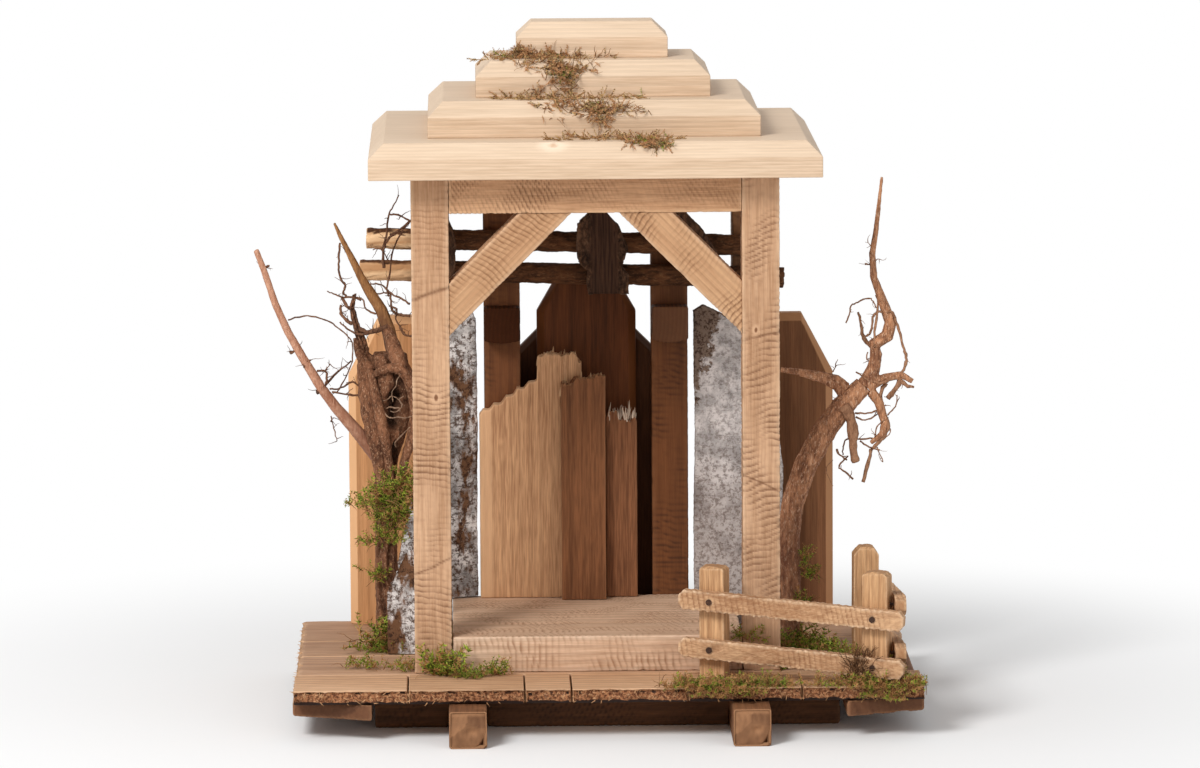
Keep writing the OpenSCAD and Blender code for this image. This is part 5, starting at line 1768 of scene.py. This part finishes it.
# %% One sprig
def sprig_mesh(seed, bend=0.3, leans=(38, 68), leaves=(0.24, 0.4), stout=1.0):
    chance = random.Random(seed)
    bm = bmesh.new()
    stem = wander(Vector((0, 0, 0)), Vector((0, 0, 1)), 1.0, chance, bend, 5)
    grow_tube(bm, stem, [width * stout for width in (0.04, 0.035, 0.03, 0.025, 0.018, 0.008)], 3)
    for index in range(1, len(stem)):
        for leaf in range(3):
            turn = math.tau * (leaf / 3 + index * 0.17) + chance.uniform(-0.4, 0.4)
            lean = math.radians(chance.uniform(*leans))
            length = chance.uniform(*leaves) * (1.15 - 0.12 * index)
            matrix = (Matrix.Translation(stem[index]) @ Matrix.Rotation(turn, 4, "Z")
                @ Matrix.Rotation(lean, 4, "Y") @ Matrix.Diagonal((1, 0.45, 1, 1))
                @ Matrix.Translation((0, 0, length / 2)))
            bmesh.ops.create_cone(bm, cap_ends=False, segments=3, radius1=0.05 * stout, radius2=0.006,
                depth=length, matrix=matrix)
    mesh = bpy.data.meshes.new("sprig")
    bm.to_mesh(mesh)
    bm.free()
    return mesh


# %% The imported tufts
def packed_tufts():
    """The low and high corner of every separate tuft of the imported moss."""
    bm = merged_copy("moss_tufts")
    seen = set()
    tufts = []
    for v in bm.verts:
        if v in seen:
            continue
        island, waiting = [], [v]
        seen.add(v)
        while waiting:
            current = waiting.pop()
            island.append(current.co.copy())
            for e in current.link_edges:
                other = e.other_vert(current)
                if other not in seen:
                    seen.add(other)
                    waiting.append(other)
        tufts.append([Vector([pick(c[a] for c in island) for a in range(3)]) for pick in (min, max)])
    bm.free()
    return tufts


sprigs = [sprig_mesh(seed) for seed in range(6)]
dry_sprigs = [sprig_mesh(seed, 0.5, (14, 46), (0.2, 0.34), 1.2) for seed in range(6)]
tufts = packed_tufts()
print("tufts of moss:", len(tufts))


# %% Planting
def pour(part, bm):
    """Adds a small bmesh to a large one, which is much faster than growing in the large one."""
    mesh = bpy.data.meshes.new("part")
    part.to_mesh(mesh)
    part.free()
    bm.from_mesh(mesh)
    bpy.data.meshes.remove(mesh)


def plant(bm, chance, foot, heading, length, kinds):
    before = len(bm.verts)
    bm.from_mesh(chance.choice(kinds))
    up = heading.to_track_quat("Z", "Y").to_matrix().to_4x4()
    matrix = (Matrix.Translation(foot) @ up @ Matrix.Rotation(chance.uniform(0, math.tau), 4, "Z")
        @ Matrix.Scale(length, 4))
    bm.verts.ensure_lookup_table()
    bmesh.ops.transform(bm, matrix=matrix, verts=bm.verts[before:])


# %% Moss paint
def moss_material(name, bright, deep, brown, brown_share, roof_bright=None, roof_deep=None, front_dry=0):
    paint, tree, shader = new_material(name, 0.75, 0.25)
    coords = here(tree)
    fine = ramp(tree, noise_of(tree, coords, 900.0, 2.0), 0.35, 0.65)
    colour = blend(tree, fine, deep, bright)
    if roof_bright:
        on_roof = ramp(tree, axis_of(tree, coords, "Z"), level(200), level(210))
        colour = blend(tree, on_roof, colour, blend(tree, fine, roof_deep, roof_bright))
    dry = noise_of(tree, coords, 260.0, 3.0, 0.6)
    if front_dry:
        front = ramp(tree, axis_of(tree, coords, "Y"), frame_front - 36 * MM, frame_front - 22 * MM,
            front_dry, 0.0)
        dry = add(tree, dry, front)
    dry = ramp(tree, dry, 0.62 - brown_share * 0.3, 0.7 - brown_share * 0.3)
    feed(tree, shader.inputs["Base Color"], blend(tree, dry, colour, brown))
    add_bump(tree, shader, noise_of(tree, coords, 2500.0, 2.0), 0.3, 0.0002)
    return paint


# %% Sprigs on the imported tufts
def tuft_sprigs(bm, low, high, count, chance):
    centre = (low + high) / 2
    half = (high - low) / 2
    part = bmesh.new()
    on_roof = low.z > level(200)
    for number in range(count // 3 if on_roof else count):
        turn = chance.uniform(0, math.tau)
        reach = math.sqrt(chance.random())
        foot = Vector((centre.x + half.x * reach * math.cos(turn) * 1.15,
            centre.y + half.y * reach * math.sin(turn) * 0.9, low.z + 0.2 * MM))
        out = Vector((math.cos(turn) * 1.1, math.sin(turn) * 0.8 - 0.25, 0.55 + 0.5 * (1 - reach)))
        if on_roof:
            out = Vector((math.cos(turn) * 1.8, math.sin(turn) * 0.7 - 0.4, 0.15 * chance.random()))
        length = chance.uniform(0.7, 1.35) * (high.z - low.z) * 1.25
        plant(part, chance, foot, out, length, dry_sprigs if on_roof else sprigs)
    pour(part, bm)


green_moss = moss_material("green_moss", (154, 168, 62), (84, 104, 32), (152, 112, 68), 0.45,
    (206, 174, 120), (112, 80, 48), 0.03)
sprigs_per_tuft = 66
chance = random.Random(17)
bm = bmesh.new()
for low, high in tufts:
    tuft_sprigs(bm, low, high, sprigs_per_tuft, chance)
make_piece("moss_sprigs", bm, green_moss, ["moss_tufts"], smooth=False)

# %% [markdown]
# ## Moss that spreads from the tufts
#
# Round the tufts the moss thins out into single strands. A patch is a place, a spread to both sides, a
# number of strands and their length in millimetres. On the roof the dry curls lie on ledges, bevels and
# faces alike, where a ray through a picture point meets the wood.

# %% Patches on the deck
deck_patches = [
    ((46, -45, 0), 10, 5, 26, 7), ((62, -47, 0), 9, 4, 26, 8), ((78, -43, 0), 10, 5, 26, 7),
    ((98, -48, 0), 9, 4, 22, 6), ((116, -48, 0), 8, 4, 24, 6), ((130, -45, 0), 9, 5, 30, 8),
    ((143, -38, 0), 9, 7, 46, 13), ((157, -44, 0), 9, 6, 40, 9), ((167, -46, 0), 7, 4, 24, 7),
    ((90, 16, 0), 9, 12, 36, 10), ((104, 34, 0), 12, 12, 60, 11), ((122, 38, 0), 12, 12, 50, 10),
    ((136, 30, 0), 8, 8, 24, 8), ((112, 52, 4), 6, 4, 24, 12), ((113, 54, 26), 4, 3, 14, 9),
    ((-84, -5, 0), 7, 4, 40, 15), ((-78, -7, 0), 6, 3, 20, 9), ((-54, -6, 0), 6, 3, 24, 8),
    ((-122, 16, 0), 16, 6, 34, 7), ((-100, 8, 0), 8, 6, 20, 7), ((-112, 72, 4), 14, 8, 60, 12),
    ((-118, 76, 40), 6, 4, 20, 9),
]
# Read from the picture: across, down, depth, width, height, strands and length
deck_marks = (
    (382, 505, 76, 13, 14, 50, 10), (393, 500, 75, 14, 16, 80, 11), (402, 492, 75, 10, 14, 44, 10),
    (386, 520, 76, 14, 12, 46, 10), (397, 518, 75, 12, 12, 50, 10), (362, 508, 78, 8, 3, 8, 9),
    (352, 506, 78, 5, 2, 5, 8), (370, 545, 77, 14, 6, 12, 9), (392, 540, 76, 14, 10, 30, 8),
    (686, 688, -50, 22, 4, 50, 7), (708, 690, -51, 14, 3, 30, 7), (728, 692, -51, 14, 4, 30, 7),
    (748, 694, -51, 16, 4, 40, 6), (866, 684, -48, 16, 8, 80, 8), (884, 690, -51, 16, 5, 60, 7),
    (902, 688, -50, 16, 6, 60, 8), (916, 686, -48, 8, 5, 20, 7), (735, 692, -52.5, 8, 12, 26, 6),
    (893, 700, -52, 12, 8, 30, 6), (872, 697, -52, 10, 6, 20, 6), (806, 560, 58, 4, 14, 16, 7),
    (811, 577, 58, 6, 10, 18, 7), (752, 641, -3, 22, 5, 14, 8), (716, 697, -53, 26, 8, 30, 5),
)

# %% Patches on the roof
# The same without a depth, which is found by a ray
roof_marks = (
    (492, 57, 12, 3, 26, 5), (508, 58, 10, 3, 30, 6), (519, 52, 6, 8, 70, 6), (536, 57, 16, 7, 110, 7),
    (552, 55, 12, 5, 60, 6), (527, 66, 7, 4, 22, 6), (553, 67, 12, 6, 70, 7), (574, 58, 14, 4, 34, 6),
    (604, 57, 12, 3, 18, 5), (586, 68, 9, 8, 24, 7), (566, 73, 10, 6, 80, 7), (566, 86, 10, 8, 46, 7),
    (546, 84, 12, 6, 18, 6), (535, 90, 6, 4, 18, 5), (508, 98, 14, 2, 26, 5), (540, 98, 24, 3, 40, 6),
    (572, 100, 16, 4, 30, 6), (545, 107, 14, 4, 22, 6), (574, 108, 18, 6, 50, 7), (598, 110, 16, 8, 110, 7),
    (618, 108, 14, 5, 44, 6), (602, 120, 14, 4, 30, 6), (638, 110, 8, 4, 16, 5), (562, 118, 14, 6, 12, 5),
    (574, 136, 14, 2, 18, 5), (600, 138, 16, 3, 34, 5), (630, 140, 12, 5, 60, 6), (650, 142, 12, 6, 80, 7),
    (664, 144, 8, 5, 24, 6),
)
green_roof_marks = (
    (564, 74, 7, 3, 30, 5), (502, 58, 14, 2, 12, 4), (636, 95, 6, 2, 12, 3), (595, 110, 8, 5, 24, 4),
    (641, 141, 8, 3, 24, 5), (667, 144, 8, 3, 20, 5), (560, 56, 8, 3, 10, 4),
)
for across, down, depth, wide, tall, count, length in deck_marks:
    spot = (seen_at(across, down, depth) - frame_corner) / MM
    deck_patches.append(((spot.x, spot.y, spot.z), wide / 2, tall / 2, count, length))


# %% Helpers for strands and stalks
def scatter(bm, patches, chance, heading, kinds):
    for (x, y, z), wide, deep, count, length in patches:
        part = bmesh.new()
        flat = Vector((0, -0.25, -0.6)) if -60 < y < -30 else Vector((0, 0, 0))
        for strand in range(count):
            foot = place(x + wide * chance.gauss(0, 0.5), y + deep * chance.gauss(0, 0.3),
                z + 0.4 * deep * (abs(chance.gauss(0, 0.5)) if z < 1 else chance.gauss(0, 1.2)))
            lean = Vector((chance.uniform(-1, 1), chance.uniform(-1, 1), 0)) + heading + flat
            plant(part, chance, kept_inside(foot), lean, length * chance.uniform(0.5, 1.25) * MM, kinds)
        pour(part, bm)


def laid_strands(surface, marks, chance, share):
    """Foot, heading along the wood and length of every dry strand and stalk on the roof."""
    strands = []
    for across, down, wide, tall, count, length in marks:
        for strand in range(int(count * share)):
            spot = seen_at(across + wide * chance.gauss(0, 0.5), down + tall * chance.gauss(0, 0.5), 0)
            ray = (spot - camera_spot).normalized()
            hit, normal, index, reach = surface.ray_cast(camera_spot, ray)
            if hit is None:
                continue
            heading = any_way(chance, (-1.4, 1.4), z=(-1, 0.8))
            heading -= normal * (heading.dot(normal) - chance.uniform(0.0, 0.45))
            strands.append((hit + normal * chance.uniform(0.1, 0.9) * MM, heading,
                length * chance.uniform(0.5, 1.2) * MM))
    return strands


# %% Strands on the deck and the roof
roof_strand_share = 0.46
strand_moss = moss_material("strand_moss", (162, 174, 60), (68, 84, 25), (172, 126, 78), 0.45,
    front_dry=0.06)
roof_moss = moss_material("roof_moss", (206, 174, 120), (82, 56, 34), (182, 134, 92), 0.6)
bm = bmesh.new()
scatter(bm, deck_patches, chance, Vector((0, -0.2, 1.0)), sprigs)
make_piece("deck_strands", bm, strand_moss, [], smooth=False)
roof_surface = surface_of(["roof_slab_%d" % number for number in range(1, 5)])
bm = bmesh.new()
for foot, heading, length in laid_strands(roof_surface, roof_marks, chance, roof_strand_share):
    plant(bm, chance, kept_inside(foot), heading, length, dry_sprigs)
make_piece("roof_strands", bm, roof_moss, [], smooth=False)
bm = bmesh.new()
for foot, heading, length in laid_strands(roof_surface, green_roof_marks, chance, 1.0):
    plant(bm, chance, kept_inside(foot), heading, length, sprigs)
make_piece("roof_green", bm, strand_moss, [], smooth=False)

# %% Dry stalks on the roof and the deck
roof_stalk_share = 0.3
deck_stalk_share = 0.25
stalk_paint = bark_material("stalk_bark", (176, 130, 86), (112, 76, 48), (206, 162, 118), 0.3)
bm = bmesh.new()
for foot, heading, length in laid_strands(roof_surface, roof_marks, chance, roof_stalk_share):
    grow_hair(bm, chance, foot, heading, length * 1.3, (0.16, 0.32), length * 900)
make_piece("roof_stalks", bm, stalk_paint, [])
bm = bmesh.new()
for (x, y, z), wide, deep, count, length in deck_patches:
    for stalk in range(int(count * deck_stalk_share)):
        foot = place(x + wide * chance.gauss(0, 0.7), y + deep * chance.gauss(0, 0.6), z + 0.8)
        heading = any_way(chance, (-1.2, 1.2), (-0.8, 0.3), (-0.1, 0.8))
        reach = length * chance.uniform(0.6, 1.6) * MM
        grow_hair(bm, chance, foot, heading, reach, (0.16, 0.34), stalk * 0.3, bend=0.35,
            pull=Vector((0, 0, -0.1)))
make_piece("deck_stalks", bm, stalk_paint, [])

# %% A bundle of dry stalks
bundle_across_seen = (850, 872)
bundle_down_seen = (662, 684)
bundle_depths = (-48, -43)
bundle_count = 240
bm = bmesh.new()
for stalk in range(bundle_count):
    foot = seen_at(chance.uniform(*bundle_across_seen), chance.uniform(*bundle_down_seen),
        chance.uniform(*bundle_depths))
    heading = Vector((chance.uniform(-0.9, 0.9), chance.uniform(-0.5, 0.3), 1))
    grow_hair(bm, chance, foot, heading, chance.uniform(5, 14) * MM, 0.3, stalk * 0.7)
bundle_paint = bark_material("bundle_bark", (132, 94, 62), (78, 50, 32), (160, 120, 84), 0.3)
make_piece("dry_bundle", bm, bundle_paint, [])
